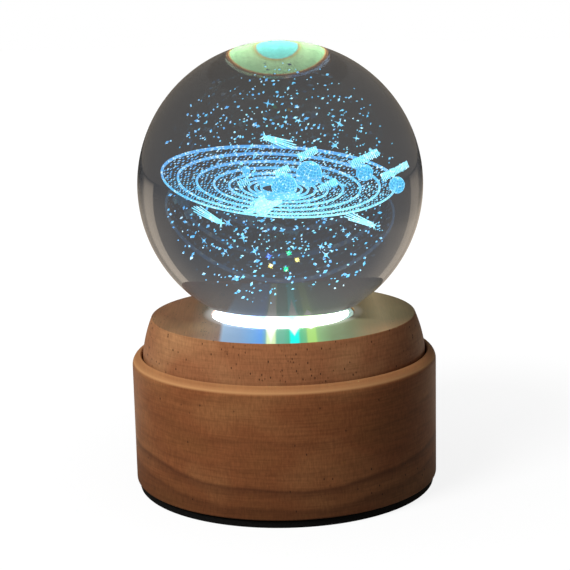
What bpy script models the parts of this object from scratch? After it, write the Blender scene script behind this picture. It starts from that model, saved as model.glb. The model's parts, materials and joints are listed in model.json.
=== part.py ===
"""Rotating crystal ball lamp: a solid glass ball on a turned wooden stage that spins on a wooden body.

Frame: +Z up, origin at the centre of the foot pad's underside, -Y towards the viewer, +Y towards the ports.
Lengths are in metres. The body's radius and height follow from what it holds, from the inside out.
"""

import math

import bmesh
import bpy
from mathutils import Matrix, Vector

# Gaps between pieces
FACE_GAP = 0.0003
SCREW_GAP = 0.0002
RUNNING_GAP = 0.0003
CUT_OVERRUN = 0.002
MERGE_SHARE = 0.01

# Facets round a turn
BALL_SEGMENTS = 56
BALL_RINGS = 24
WOOD_SEGMENTS = 72
RING_SEGMENTS = 36
SMALL_SEGMENTS = 16
SCREW_SEGMENTS = 12
ROUND_STEPS = 6
SHARP_ANGLE = math.radians(35)

# Crystal ball
BALL_RADIUS = 0.040
FLAT_RADIUS = 0.0157
FLAT_CHAMFER = 0.0004

# Light plate under the ball
DISC_MARGIN = 0.0044
DISC_THICKNESS = 0.0014
DISC_SINK = 0.0004
DISC_EDGE = 0.0002

# Foot pad and bottom cover
PAD_THICKNESS = 0.0020
PAD_INSET = 0.00085
COVER_THICKNESS = 0.0030
COVER_LEDGE = 0.0055
COVER_EDGE = 0.0003

# Gear pair
GEAR_MODULE = 0.0008
GEAR_TEETH = 48
PINION_TEETH = 12
GEAR_WIDTH = 0.0035
PRESSURE_ANGLE = math.radians(20)
ADDENDUM_SHARE = 0.75
DEDENDUM_SHARE = 1.1
BACKLASH_SHARE = 0.22
FLANK_STEPS = 2

# Geared motor
CAN_RADIUS = 0.0060
CAN_FLAT_SHARE = 0.83
CAN_HEIGHT = 0.0150
GEARBOX_WIDTH = 0.0120
GEARBOX_DEPTH = 0.0100
GEARBOX_HEIGHT = 0.0090
GEARBOX_EDGE = 0.0004
SHAFT_RADIUS = 0.0015
SHAFT_END_INSET = 0.0004
CRADLE_WALL = 0.0015
CRADLE_FLOOR = 0.0012
CRADLE_HEIGHT = 0.0110
CRADLE_EAR_WIDTH = 0.0060
CRADLE_EAR_LENGTH = 0.0060
CRADLE_EAR_THICKNESS = 0.0018
MOTOR_HEADROOM = 0.0038
MOTOR_WALL_GAP = 0.0008

# Lamp column, its bearing and the turntable hub
COLUMN_RADIUS = 0.0070
COLUMN_BORE = 0.0045
COLUMN_FLANGE_RADIUS = 0.0125
COLUMN_FLANGE_THICKNESS = 0.0020
COLLAR_RADIUS = 0.0100
COLLAR_THICKNESS = 0.0020
NECK_RADIUS = 0.0057
LEAD_WINDOW_WIDTH = 0.0050
LEAD_WINDOW_HEIGHT = 0.0060
WASHER_THICKNESS = 0.0008
HUB_LENGTH = 0.0108
HUB_SLEEVE_RADIUS = 0.0100

# Lamp board and its light-emitting diodes
LED_BOARD_THICKNESS = 0.0010
LED_LENGTH = 0.0034
LED_WIDTH = 0.0028
LED_HEIGHT = 0.0018
LED_SPACING_X = 0.0042
LED_SPACING_Y = 0.0038
LED_EDGE = 0.0003
LED_CLEARANCE = 0.0012

# Wooden stage
STAGE_HEIGHT = 0.0139
STAGE_TAPER = 0.0028
STAGE_BELLY = 0.0004
STAGE_STRAIGHT = 0.0036
STAGE_EDGE = 0.0004
STAGE_SINK = 0.0035
POCKET_DEPTH = 0.0060
POCKET_CLEARANCE = 0.0012
LIGHT_HOLE_RADIUS = 0.0063

# Wooden body
BODY_WALL = 0.0101
RIM_WALL = 0.0026
RIM_ROUND = 0.0030
RIM_ROUND_ANGLE = 70
RIM_LIP = 0.0004
STAGE_GAP = 0.0005
LEDGE_CLEARANCE = 0.0008
BODY_EDGE = 0.0006

# Port bezel with its socket, its button and the posts for the board
BEZEL_SETBACK = 0.0023
BEZEL_HEIGHT = 0.0104
BEZEL_DEPTH = 0.0065
BEZEL_EDGE = 0.0003
BEZEL_WEB = 0.00135
PORT_HEIGHT = 0.0095
PLUG_RECESS_WIDTH = 0.0125
PLUG_RECESS_HEIGHT = 0.0070
PLUG_RECESS_DEPTH = 0.0050
POST_RADIUS = 0.0019
POST_GAP = 0.00045
SOCKET_WIDTH = 0.0090
SOCKET_HEIGHT = 0.0033
SOCKET_LENGTH = 0.0073
SOCKET_WALL = 0.0004
SOCKET_BACK = 0.0010
TONGUE_WIDTH = 0.0062
TONGUE_THICKNESS = 0.0007
TONGUE_LENGTH = 0.0048
BUTTON_RADIUS = 0.0025
BUTTON_PROUD = 0.0014
BUTTON_EDGE = 0.0004
BUTTON_FLANGE = 0.0006
BUTTON_TRAVEL = 0.0010
SWITCH_WIDTH = 0.0060
SWITCH_DEPTH = 0.0025
PLUNGER_WIDTH = 0.0026
PLUNGER_SEAT = 0.0008

# Control board
BOARD_MARGIN = 0.0012
BOARD_HEIGHT = 0.0140
BOARD_THICKNESS = 0.0012

# Pouch battery and its tray
CELL_THICKNESS = 0.0060
CELL_LENGTH = 0.0300
CELL_HEIGHT = 0.0190
CELL_EDGE = 0.0012
TRAY_WALL = 0.0012
TRAY_FLOOR = 0.0012
TRAY_HEIGHT = 0.0100
TRAY_OFFSET = 0.0022

# Screws: sizes, counts and the angle of the first one on its circle, in degrees
SCREW_RADIUS = 0.0010
SCREW_HEAD_RADIUS = 0.0019
SCREW_HEAD_HEIGHT = 0.0012
SCREW_HEAD_EDGE = 0.0004
SCREW_TIP = 0.0008
SCREW_SLOT_WIDTH = 0.0006
SCREW_SLOT_DEPTH = 0.0005
COVER_SCREW_LENGTH = 0.0073
PLATE_SCREW_LENGTH = 0.0040
HUB_SCREW_LENGTH = 0.0068
BOARD_SCREW_LENGTH = 0.0040
PILOT_SPARE = 0.0006
HUB_SCREW_CIRCLE = 0.0140
COVER_SCREW_COUNT = 3
COVER_SCREW_START = 37
HUB_SCREW_COUNT = 3
HUB_SCREW_START = 92
COLUMN_SCREW_COUNT = 2
COLUMN_SCREW_START = 122

# Internal leads. Each route runs from its start (0) to its end (1), by its own shares across and along
LEAD_RADIUS = 0.0007
LEAD_STEP = 0.0032
LEAD_FACETS = 2
LEAD_SAG = 0.0015
LEAD_SAMPLES = 24
LED_LEAD_BOW_SHARE = 0.4
LED_LEAD_DROP_SHARES = ((0, 0, 1), (0, 0, 0.85), (1, 0, 0.35), (1, 0, 0.14), (0, 0.05, 0.03))
LED_LEAD_RUN_SHARES = ((0, 0.25, 0), (0, 0.6, 0), (0, 0.9, 0), (0, 1, 0))
MOTOR_LEAD_SHARES = ((0, 0), (0, 0.15), (0.1, 0.36), (0.42, 0.6), (0.76, 0.72), (1, 0.88), (1, 1))
BATTERY_LEAD_SHARES = ((0, 0), (0, 0.25), (0.22, 0.5), (0.62, 0.62), (0.93, 0.77), (1, 1))
LEAD_PAD_SHARE = 0.3

# Gear pair, worked out
GEAR_RADIUS = GEAR_MODULE * GEAR_TEETH / 2
PINION_RADIUS = GEAR_MODULE * PINION_TEETH / 2
GEAR_CENTRES = GEAR_RADIUS + PINION_RADIUS
PINION_TIP_RADIUS = PINION_RADIUS + ADDENDUM_SHARE * GEAR_MODULE

# Radii, worked out from the inside out
CRADLE_HALF_X = max(CAN_RADIUS, GEARBOX_WIDTH / 2) + FACE_GAP + CRADLE_WALL
CRADLE_HALF_Y = max(CAN_RADIUS * CAN_FLAT_SHARE, GEARBOX_DEPTH / 2) + FACE_GAP + CRADLE_WALL
CAVITY_RADIUS = math.hypot(GEAR_CENTRES + CRADLE_HALF_X, CRADLE_HALF_Y) + MOTOR_WALL_GAP
BODY_RADIUS = CAVITY_RADIUS + BODY_WALL
MOUTH_RADIUS = BODY_RADIUS - RIM_WALL
STAGE_FOOT_RADIUS = MOUTH_RADIUS - STAGE_GAP
STAGE_TOP_RADIUS = STAGE_FOOT_RADIUS - STAGE_TAPER
POCKET_RADIUS = GEAR_CENTRES + PINION_TIP_RADIUS + POCKET_CLEARANCE
COUNTERBORE_RADIUS = CAVITY_RADIUS + COVER_LEDGE
COVER_RADIUS = COUNTERBORE_RADIUS - FACE_GAP
COVER_SCREW_CIRCLE = CAVITY_RADIUS + COVER_LEDGE / 2
COLUMN_SCREW_CIRCLE = (COLUMN_RADIUS + COLUMN_FLANGE_RADIUS) / 2
DISC_RADIUS = FLAT_RADIUS + DISC_MARGIN

# Heights, worked out from the table upwards
BODY_BOTTOM = PAD_THICKNESS + FACE_GAP
COVER_TOP = BODY_BOTTOM + COVER_THICKNESS
FLOOR_LEVEL = COVER_TOP + FACE_GAP
CAN_BOTTOM = FLOOR_LEVEL + CRADLE_FLOOR + FACE_GAP
GEARBOX_BOTTOM = CAN_BOTTOM + CAN_HEIGHT + FACE_GAP
GEARBOX_TOP = GEARBOX_BOTTOM + GEARBOX_HEIGHT
STAGE_BOTTOM = GEARBOX_TOP + MOTOR_HEADROOM
MOUTH_FLOOR = STAGE_BOTTOM - LEDGE_CLEARANCE
RIM_TOP = STAGE_BOTTOM + STAGE_SINK
STAGE_TOP = STAGE_BOTTOM + STAGE_HEIGHT
POCKET_TOP = STAGE_BOTTOM + POCKET_DEPTH
HUB_TOP = POCKET_TOP - FACE_GAP
GEAR_BOTTOM = HUB_TOP - GEAR_WIDTH
HUB_BOTTOM = HUB_TOP - HUB_LENGTH
COLLAR_TOP = HUB_BOTTOM - FACE_GAP - WASHER_THICKNESS - FACE_GAP
DISC_TOP = STAGE_TOP - DISC_SINK
DISC_BOTTOM = DISC_TOP - DISC_THICKNESS
RECESS_FLOOR = DISC_BOTTOM - FACE_GAP
LED_TOP = DISC_BOTTOM - LED_CLEARANCE
LED_BOARD_TOP = LED_TOP - LED_HEIGHT - FACE_GAP
LED_BOARD_BOTTOM = LED_BOARD_TOP - LED_BOARD_THICKNESS
NECK_TOP = LED_BOARD_BOTTOM - FACE_GAP
WINDOW_LEVEL = FLOOR_LEVEL + COLUMN_FLANGE_THICKNESS + FACE_GAP + LEAD_WINDOW_HEIGHT / 2
FLAT_LEVEL = DISC_TOP + FACE_GAP
BALL_DROP = math.sqrt(BALL_RADIUS**2 - FLAT_RADIUS**2)
BALL_CENTRE = FLAT_LEVEL + BALL_DROP

# Widths across the ports, worked out from what stands side by side
SOCKET_TO_POST = SOCKET_WIDTH / 2 + POST_GAP + POST_RADIUS
SOCKET_TO_BUTTON = PLUG_RECESS_WIDTH / 2 + BEZEL_WEB + RUNNING_GAP + BUTTON_RADIUS
BUTTON_TO_POST = max(SWITCH_WIDTH / 2, BUTTON_RADIUS + BUTTON_FLANGE) + POST_GAP + POST_RADIUS
POST_OFFSET = (SOCKET_TO_POST + SOCKET_TO_BUTTON + BUTTON_TO_POST) / 2
SOCKET_OFFSET = POST_OFFSET - SOCKET_TO_POST
BUTTON_OFFSET = POST_OFFSET - BUTTON_TO_POST
BEZEL_WIDTH = 2 * (POST_OFFSET + POST_RADIUS + BEZEL_EDGE)
BOARD_WIDTH = 2 * (POST_OFFSET + BOARD_MARGIN)

# Depths, worked out from the body's back inwards
PORT_LEVEL = FLOOR_LEVEL + PORT_HEIGHT
BEZEL_FACE = BODY_RADIUS - BEZEL_SETBACK
BEZEL_BACK = BEZEL_FACE - BEZEL_DEPTH
SLOT_INNER = math.sqrt(CAVITY_RADIUS**2 - (BEZEL_WIDTH / 2 + FACE_GAP) ** 2) - CUT_OVERRUN
SLOT_OUTER = BODY_RADIUS + CUT_OVERRUN
SOCKET_MOUTH = BEZEL_FACE - PLUG_RECESS_DEPTH
SOCKET_END = SOCKET_MOUTH - SOCKET_LENGTH
BOARD_FACE = SOCKET_END - FACE_GAP
BOARD_BACK = BOARD_FACE - BOARD_THICKNESS
SWITCH_BACK = BOARD_FACE + FACE_GAP
SWITCH_FACE = SWITCH_BACK + SWITCH_DEPTH
BUTTON_FACE = BEZEL_FACE + BUTTON_PROUD
BUTTON_BACK = BEZEL_BACK - FACE_GAP - BUTTON_FLANGE
PLUNGER_BACK = SWITCH_FACE - PLUNGER_SEAT
CELL_CENTRE_X = -(COLUMN_FLANGE_RADIUS + TRAY_OFFSET + TRAY_WALL + FACE_GAP + CELL_THICKNESS / 2)
CELL_BOTTOM = FLOOR_LEVEL + TRAY_FLOOR + FACE_GAP


def clear_scene():
    """Removes whatever the file opened with."""
    for obj in list(bpy.data.objects):
        bpy.data.objects.remove(obj)


def finish(name, colour, roughness, metallic=0.0, transmission=0.0, glow=0.0):
    """A Principled material in one plain colour."""
    material = bpy.data.materials.new(name)
    material.use_nodes = True
    shader = material.node_tree.nodes["Principled BSDF"]
    shader.inputs["Base Color"].default_value = (*colour, 1.0)
    shader.inputs["Roughness"].default_value = roughness
    shader.inputs["Metallic"].default_value = metallic
    shader.inputs["Transmission Weight"].default_value = transmission
    shader.inputs["Emission Color"].default_value = (*colour, 1.0)
    shader.inputs["Emission Strength"].default_value = glow
    return material


def object_from(name, bm, place, material, smooth=True):
    """Turns a bmesh into a placed object. One without a material is a cutter or a helper, not a piece."""
    bmesh.ops.recalc_face_normals(bm, faces=bm.faces)
    mesh = bpy.data.meshes.new(name)
    bm.to_mesh(mesh)
    bm.free()
    if smooth:
        mesh.shade_smooth()
        mesh.set_sharp_from_angle(angle=SHARP_ANGLE)
    obj = bpy.data.objects.new(name, mesh)
    obj.location = place
    bpy.context.scene.collection.objects.link(obj)
    if material is None:
        obj.hide_render = True
        obj.display_type = "WIRE"
    else:
        mesh.materials.append(material)
    return obj


def arc(radius_at, height_at, size, start, end, steps):
    """Points of an arc in a turned profile, as (radius, height). Angles are in degrees from outward."""
    angles = [math.radians(start + (end - start) * step / steps) for step in range(steps + 1)]
    return [(radius_at + size * math.cos(a), height_at + size * math.sin(a)) for a in angles]


def turned(name, profile, segments, place, material):
    """A solid of revolution about Z. A profile that starts on the axis is solid, any other is a ring."""
    bm = bmesh.new()
    points = [bm.verts.new((radius, 0.0, height)) for radius, height in profile]
    edges = [bm.edges.new(pair) for pair in zip(points, points[1:])]
    if profile[0][0] > 0:
        edges.append(bm.edges.new((points[-1], points[0])))
    bmesh.ops.spin(
        bm,
        geom=points + edges,
        cent=(0, 0, 0),
        axis=(0, 0, 1),
        angle=math.tau,
        steps=segments,
        use_merge=True,
    )
    bmesh.ops.remove_doubles(bm, verts=bm.verts, dist=FACE_GAP * MERGE_SHARE)
    return object_from(name, bm, place, material)


def block(name, size, place, material, edge=0.0):
    """A box with its edges chamfered, centred on its place."""
    bm = bmesh.new()
    bmesh.ops.create_cube(bm, size=1.0, matrix=Matrix.Diagonal((*size, 1.0)))
    if edge:
        bmesh.ops.bevel(
            bm,
            geom=bm.edges,
            offset=edge,
            segments=1,
            profile=0.5,
            affect="EDGES",
            material=-1,
        )
    return object_from(name, bm, place, material, smooth=False)


def rod(name, radius, length, place, material, axis="Z", segments=SMALL_SEGMENTS):
    """A plain cylinder that starts at its place and runs along +Z or +Y."""
    obj = turned(name, [(0, 0), (radius, 0), (radius, length), (0, length)], segments, place, material)
    if axis == "Y":
        obj.rotation_euler = (math.radians(-90), 0, 0)
    return obj


def extruded(name, outline, height, place, material):
    """A prism over a flat outline of (x, y) points."""
    bm = bmesh.new()
    face = bm.faces.new([bm.verts.new((x, y, 0.0)) for x, y in outline])
    raised = bmesh.ops.extrude_face_region(bm, geom=[face])["geom"]
    corners = [item for item in raised if isinstance(item, bmesh.types.BMVert)]
    bmesh.ops.translate(bm, verts=corners, vec=(0, 0, height))
    return object_from(name, bm, place, material)


def combine(obj, other, operation):
    """Joins a helper to the object, cuts it away or keeps what both hold."""
    modifier = obj.modifiers.new(other.name, "BOOLEAN")
    modifier.object = other
    modifier.operation = operation
    modifier.solver = "EXACT"


def cut(obj, *cutters):
    """Cuts each cutter away from the object."""
    for cutter in cutters:
        combine(obj, cutter, "DIFFERENCE")


def add(obj, *helpers):
    """Joins each helper to the object."""
    for helper in helpers:
        combine(obj, helper, "UNION")


def ring_places(count, radius, height, start):
    """Places on a circle about Z, with the first at the start angle in degrees."""
    angles = [math.radians(start) + math.tau * index / count for index in range(count)]
    return [(radius * math.cos(a), radius * math.sin(a), height) for a in angles]


def raised(place, rise):
    """A place moved up by a rise."""
    return Vector(place) + Vector((0, 0, rise))


def carry(name, place, pieces):
    """An empty on a joint's axis, with the pieces that move together parented to it where they are."""
    empty = bpy.data.objects.new(name, None)
    empty.location = place
    bpy.context.scene.collection.objects.link(empty)
    for piece in pieces:
        piece.location = Vector(piece.location) - Vector(place)
        piece.parent = empty


def screw(name, length, place, material, facing="up"):
    """A slotted screw whose head's inner face sits at its place. It faces up, down or to the back."""
    profile = [
        (0, -SCREW_HEAD_HEIGHT),
        (SCREW_HEAD_RADIUS - SCREW_HEAD_EDGE, -SCREW_HEAD_HEIGHT),
        (SCREW_HEAD_RADIUS, SCREW_HEAD_EDGE - SCREW_HEAD_HEIGHT),
        (SCREW_HEAD_RADIUS, 0),
        (SCREW_RADIUS, 0),
        (SCREW_RADIUS, length - SCREW_TIP),
        (0, length),
    ]
    obj = turned(name, profile, SCREW_SEGMENTS, place, material)
    slot_size = (2 * (SCREW_HEAD_RADIUS + CUT_OVERRUN), SCREW_SLOT_WIDTH, 2 * SCREW_SLOT_DEPTH)
    slot = block(name + "_slot_cutter", slot_size, (0, 0, -SCREW_HEAD_HEIGHT), None)
    slot.parent = obj
    cut(obj, slot)
    turns = {"up": 0, "down": 180, "back": -90}
    obj.rotation_euler = (math.radians(turns[facing]), 0, 0)
    return obj


def screw_hole(name, length, place, axis="Z"):
    """A cutter for a screw's shank, from an overrun before its place to its length past it."""
    back = Vector((0, 0, CUT_OVERRUN)) if axis == "Z" else Vector((0, CUT_OVERRUN, 0))
    radius = SCREW_RADIUS + SCREW_GAP
    return rod(name, radius, length + CUT_OVERRUN, Vector(place) - back, None, axis, SCREW_SEGMENTS)


def gear_outline(teeth, phase):
    """Involute teeth as (x, y) points, with a tooth centred on the phase angle and thinned for backlash."""
    pitch_radius = GEAR_MODULE * teeth / 2
    base_radius = pitch_radius * math.cos(PRESSURE_ANGLE)
    tip_radius = pitch_radius + ADDENDUM_SHARE * GEAR_MODULE
    root_radius = pitch_radius - DEDENDUM_SHARE * GEAR_MODULE
    half_tooth = math.pi / (2 * teeth) - BACKLASH_SHARE * GEAR_MODULE / (2 * pitch_radius)
    flank_start = max(base_radius, root_radius)

    def involute(radius):
        angle = math.acos(min(1.0, base_radius / radius))
        return math.tan(angle) - angle

    at_pitch = involute(pitch_radius)
    radii = [flank_start + (tip_radius - flank_start) * step / FLANK_STEPS for step in range(FLANK_STEPS + 1)]
    flank = [(radius, half_tooth + at_pitch - involute(radius)) for radius in radii]
    if root_radius < flank_start:
        flank.insert(0, (root_radius, flank[0][1]))
    side = [(radius, -angle) for radius, angle in flank]
    side += [(radius, angle) for radius, angle in reversed(flank)]
    points = []
    for tooth in range(teeth):
        centre = phase + math.tau * tooth / teeth
        points += [(r * math.cos(centre + a), r * math.sin(centre + a)) for r, a in side]
    return points


def stadium(width, height):
    """An outline with round ends, as (x, y) points."""
    radius = height / 2
    shift = width / 2 - radius
    right = arc(shift, 0, radius, -90, 90, ROUND_STEPS)
    left = arc(-shift, 0, radius, 90, 270, ROUND_STEPS)
    return right + left


def smooth_route(stops):
    """Points at an even step along a smooth curve through a route's stops."""
    stops = [Vector(stop) for stop in stops]
    stops = [2 * stops[0] - stops[1], *stops, 2 * stops[-1] - stops[-2]]
    fine = []
    for a, b, c, d in zip(stops, stops[1:], stops[2:], stops[3:]):
        for sample in range(LEAD_SAMPLES):
            t = sample / LEAD_SAMPLES
            bend = (2 * a - 5 * b + 4 * c - d) * t**2 + (3 * b - a - 3 * c + d) * t**3
            fine.append((2 * b + (c - a) * t + bend) / 2)
    fine.append(stops[-2])
    reach = [0.0]
    for first, second in zip(fine, fine[1:]):
        reach.append(reach[-1] + (second - first).length)
    count = round(reach[-1] / LEAD_STEP)
    route = []
    place = 0
    for index in range(count + 1):
        wanted = reach[-1] * index / count
        while place < len(reach) - 2 and reach[place + 1] < wanted:
            place += 1
        share = (wanted - reach[place]) / (reach[place + 1] - reach[place])
        route.append(fine[place].lerp(fine[place + 1], min(1.0, share)))
    return route


def lead(name, stops, material):
    """An insulated lead: a round tube along a smooth route."""
    curve = bpy.data.curves.new(name, "CURVE")
    curve.dimensions = "3D"
    curve.bevel_depth = LEAD_RADIUS
    curve.bevel_resolution = LEAD_FACETS
    curve.use_fill_caps = True
    spline = curve.splines.new("POLY")
    route = smooth_route(stops)
    spline.points.add(len(route) - 1)
    for point, place in zip(spline.points, route):
        point.co = (*place, 1.0)
    curve.materials.append(material)
    obj = bpy.data.objects.new(name, curve)
    bpy.context.scene.collection.objects.link(obj)
    return obj


def level_lead(name, start, end, shares, material):
    """A lead that runs level between two pieces and sags a little, by its shares (across, along)."""
    stops = []
    for across, along in shares:
        sag = 4 * LEAD_SAG * along * (1 - along)
        x = start[0] + (end[0] - start[0]) * across
        y = start[1] + (end[1] - start[1]) * along
        stops.append((x, y, start[2] - sag))
    return lead(name, stops, material)


def build_ball(glass):
    """The solid ball with its ground flat."""
    start = math.degrees(math.asin(-BALL_DROP / BALL_RADIUS))
    round_side = arc(0, 0, BALL_RADIUS, start, 90, BALL_RINGS)[1:-1]
    profile = [
        (0, -BALL_DROP),
        (FLAT_RADIUS - FLAT_CHAMFER, -BALL_DROP),
        *round_side,
        (0, BALL_RADIUS),
    ]
    return turned("crystal_ball", profile, BALL_SEGMENTS, (0, 0, BALL_CENTRE), glass)


def build_seat_disc(acrylic):
    """The light plate that closes the light hole, spreads the light and carries the ball."""
    profile = [
        (0, 0),
        (DISC_RADIUS - DISC_EDGE, 0),
        (DISC_RADIUS, DISC_EDGE),
        (DISC_RADIUS, DISC_THICKNESS - DISC_EDGE),
        (DISC_RADIUS - DISC_EDGE, DISC_THICKNESS),
        (0, DISC_THICKNESS),
    ]
    return turned("seat_disc", profile, RING_SEGMENTS, (0, 0, DISC_BOTTOM), acrylic)


def stage_side():
    """The stage's outer profile above its straight foot: a taper with a slight belly."""
    rise = STAGE_HEIGHT - STAGE_STRAIGHT - STAGE_EDGE
    points = []
    for step in range(ROUND_STEPS + 1):
        share = step / ROUND_STEPS
        bulge = 4 * STAGE_BELLY * share * (1 - share)
        radius = STAGE_FOOT_RADIUS - STAGE_TAPER * share + bulge
        points.append((radius, STAGE_STRAIGHT + rise * share))
    return points


def build_stage(wood):
    """The tapered wooden stage with its plate recess, light hole, gear pocket and pilot holes."""
    plate_recess = DISC_RADIUS + FACE_GAP
    recess_floor = RECESS_FLOOR - STAGE_BOTTOM
    profile = [
        (POCKET_RADIUS, 0),
        (STAGE_FOOT_RADIUS - STAGE_EDGE, 0),
        (STAGE_FOOT_RADIUS, STAGE_EDGE),
        *stage_side(),
        (STAGE_TOP_RADIUS - STAGE_EDGE, STAGE_HEIGHT),
        (plate_recess, STAGE_HEIGHT),
        (plate_recess, recess_floor),
        (LIGHT_HOLE_RADIUS, recess_floor),
        (LIGHT_HOLE_RADIUS, POCKET_DEPTH),
        (POCKET_RADIUS, POCKET_DEPTH),
    ]
    stage = turned("wood_stage", profile, WOOD_SEGMENTS, (0, 0, STAGE_BOTTOM), wood)
    reach = HUB_SCREW_LENGTH - GEAR_WIDTH + PILOT_SPARE
    for index, place in enumerate(hub_screw_places(POCKET_TOP)):
        cut(stage, screw_hole(f"stage_pilot_cutter_{index + 1}", reach, place))
    return stage


def hub_screw_places(height):
    """Where the hub's screws go, at a height."""
    return ring_places(HUB_SCREW_COUNT, HUB_SCREW_CIRCLE, height, HUB_SCREW_START)


def build_hub(nylon, steel):
    """The turntable hub: a gear plate with a long sleeve that runs on the lamp column, and its screws."""
    outline = gear_outline(GEAR_TEETH, math.pi / GEAR_TEETH)
    hub = extruded("turntable_hub", outline, GEAR_WIDTH, (0, 0, GEAR_BOTTOM), nylon)
    sleeve_length = HUB_LENGTH - GEAR_WIDTH / 2
    foot = (0, 0, HUB_BOTTOM)
    sleeve = rod("hub_sleeve_helper", HUB_SLEEVE_RADIUS, sleeve_length, foot, None, "Z", RING_SEGMENTS)
    bore_place = raised(foot, -CUT_OVERRUN)
    bore_length = HUB_LENGTH + 2 * CUT_OVERRUN
    bore_radius = COLUMN_RADIUS + RUNNING_GAP
    add(hub, sleeve)
    cut(hub, rod("hub_bore_cutter", bore_radius, bore_length, bore_place, None, "Z", RING_SEGMENTS))
    screws = []
    for index, place in enumerate(hub_screw_places(GEAR_BOTTOM)):
        cut(hub, screw_hole(f"hub_hole_cutter_{index + 1}", GEAR_WIDTH + CUT_OVERRUN, place))
        screws.append(screw(f"hub_screw_{index + 1}", HUB_SCREW_LENGTH, raised(place, -FACE_GAP), steel))
    return [hub, *screws]


def build_washer(nylon):
    """The thrust washer between the column's collar and the hub's sleeve."""
    inner = COLUMN_RADIUS + RUNNING_GAP
    profile = [(inner, 0), (COLLAR_RADIUS, 0), (COLLAR_RADIUS, WASHER_THICKNESS), (inner, WASHER_THICKNESS)]
    return turned("thrust_washer", profile, RING_SEGMENTS, (0, 0, COLLAR_TOP + FACE_GAP), nylon)


def build_column(plastic, steel):
    """The hollow lamp column, which stands on the cover, bears the turntable and holds the lamp board."""
    collar_bottom = COLLAR_TOP - COLLAR_THICKNESS - FLOOR_LEVEL
    profile = [
        (COLUMN_BORE, 0),
        (COLUMN_FLANGE_RADIUS, 0),
        (COLUMN_FLANGE_RADIUS, COLUMN_FLANGE_THICKNESS),
        (COLUMN_RADIUS, COLUMN_FLANGE_THICKNESS),
        (COLUMN_RADIUS, collar_bottom),
        (COLLAR_RADIUS, collar_bottom),
        (COLLAR_RADIUS, COLLAR_TOP - FLOOR_LEVEL),
        (COLUMN_RADIUS, COLLAR_TOP - FLOOR_LEVEL),
        (COLUMN_RADIUS, HUB_TOP - FLOOR_LEVEL),
        (NECK_RADIUS, HUB_TOP - FLOOR_LEVEL),
        (NECK_RADIUS, NECK_TOP - FLOOR_LEVEL),
        (COLUMN_BORE, NECK_TOP - FLOOR_LEVEL),
    ]
    column = turned("led_column", profile, RING_SEGMENTS, (0, 0, FLOOR_LEVEL), plastic)
    window_depth = COLUMN_RADIUS + CUT_OVERRUN
    window_size = (LEAD_WINDOW_WIDTH, window_depth, LEAD_WINDOW_HEIGHT)
    cut(column, block("lead_window_cutter", window_size, (0, window_depth / 2, WINDOW_LEVEL), None))
    through = COLUMN_FLANGE_THICKNESS + CUT_OVERRUN
    for index, place in enumerate(column_screw_places(FLOOR_LEVEL)):
        cut(column, screw_hole(f"column_hole_cutter_{index + 1}", through, place))
    seats = column_screw_places(FLOOR_LEVEL + COLUMN_FLANGE_THICKNESS + FACE_GAP)
    for index, place in enumerate(seats):
        screw(f"column_screw_{index + 1}", PLATE_SCREW_LENGTH, place, steel, "down")


def column_screw_places(height):
    """Where the column's screws go, at a height."""
    return ring_places(COLUMN_SCREW_COUNT, COLUMN_SCREW_CIRCLE, height, COLUMN_SCREW_START)


def cradle_screw_places(height):
    """Where the screws of the motor cradle's ears go, at a height."""
    reach = CRADLE_HALF_Y + CRADLE_EAR_LENGTH / 2
    return [(GEAR_CENTRES, -reach, height), (GEAR_CENTRES, reach, height)]


def build_lamp_board(laminate, diodes):
    """The round lamp board with its light-emitting diodes."""
    place = (0, 0, LED_BOARD_BOTTOM)
    rod("led_board", NECK_RADIUS, LED_BOARD_THICKNESS, place, laminate, "Z", RING_SEGMENTS)
    size = (LED_LENGTH, LED_WIDTH, LED_HEIGHT)
    sides = ((-1, -1), (1, -1), (-1, 1), (1, 1))
    for (name, material), (side_x, side_y) in zip(diodes.items(), sides):
        place = (side_x * LED_SPACING_X / 2, side_y * LED_SPACING_Y / 2, LED_TOP - LED_HEIGHT / 2)
        block(name, size, place, material, LED_EDGE)


def build_body(wood):
    """The turned wooden body: round rim, mouth, cavity, cover ledge and the slot for the ports."""
    top = RIM_TOP - BODY_BOTTOM
    mouth = MOUTH_FLOOR - BODY_BOTTOM
    ledge = FLOOR_LEVEL - BODY_BOTTOM
    profile = [
        (COUNTERBORE_RADIUS, 0),
        (BODY_RADIUS - BODY_EDGE, 0),
        (BODY_RADIUS, BODY_EDGE),
        *arc(BODY_RADIUS - RIM_ROUND, top - RIM_ROUND, RIM_ROUND, 0, RIM_ROUND_ANGLE, ROUND_STEPS),
        (MOUTH_RADIUS + RIM_LIP, top),
        (MOUTH_RADIUS, top - RIM_LIP),
        (MOUTH_RADIUS, mouth),
        (CAVITY_RADIUS, mouth),
        (CAVITY_RADIUS, ledge),
        (COUNTERBORE_RADIUS, ledge),
    ]
    body = turned("wood_body", profile, WOOD_SEGMENTS, (0, 0, BODY_BOTTOM), wood)
    slot_size = (BEZEL_WIDTH + 2 * FACE_GAP, SLOT_OUTER - SLOT_INNER, BEZEL_HEIGHT + 2 * FACE_GAP)
    slot_place = (0, (SLOT_OUTER + SLOT_INNER) / 2, PORT_LEVEL)
    cut(body, block("port_slot_cutter", slot_size, slot_place, None))
    reach = COVER_SCREW_LENGTH + SCREW_HEAD_HEIGHT + FACE_GAP - COVER_THICKNESS + PILOT_SPARE
    for index, place in enumerate(cover_screw_places(FLOOR_LEVEL)):
        cut(body, screw_hole(f"body_pilot_cutter_{index + 1}", reach, place))


def cover_screw_places(height):
    """Where the bottom cover's screws go, at a height."""
    return ring_places(COVER_SCREW_COUNT, COVER_SCREW_CIRCLE, height, COVER_SCREW_START)


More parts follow.
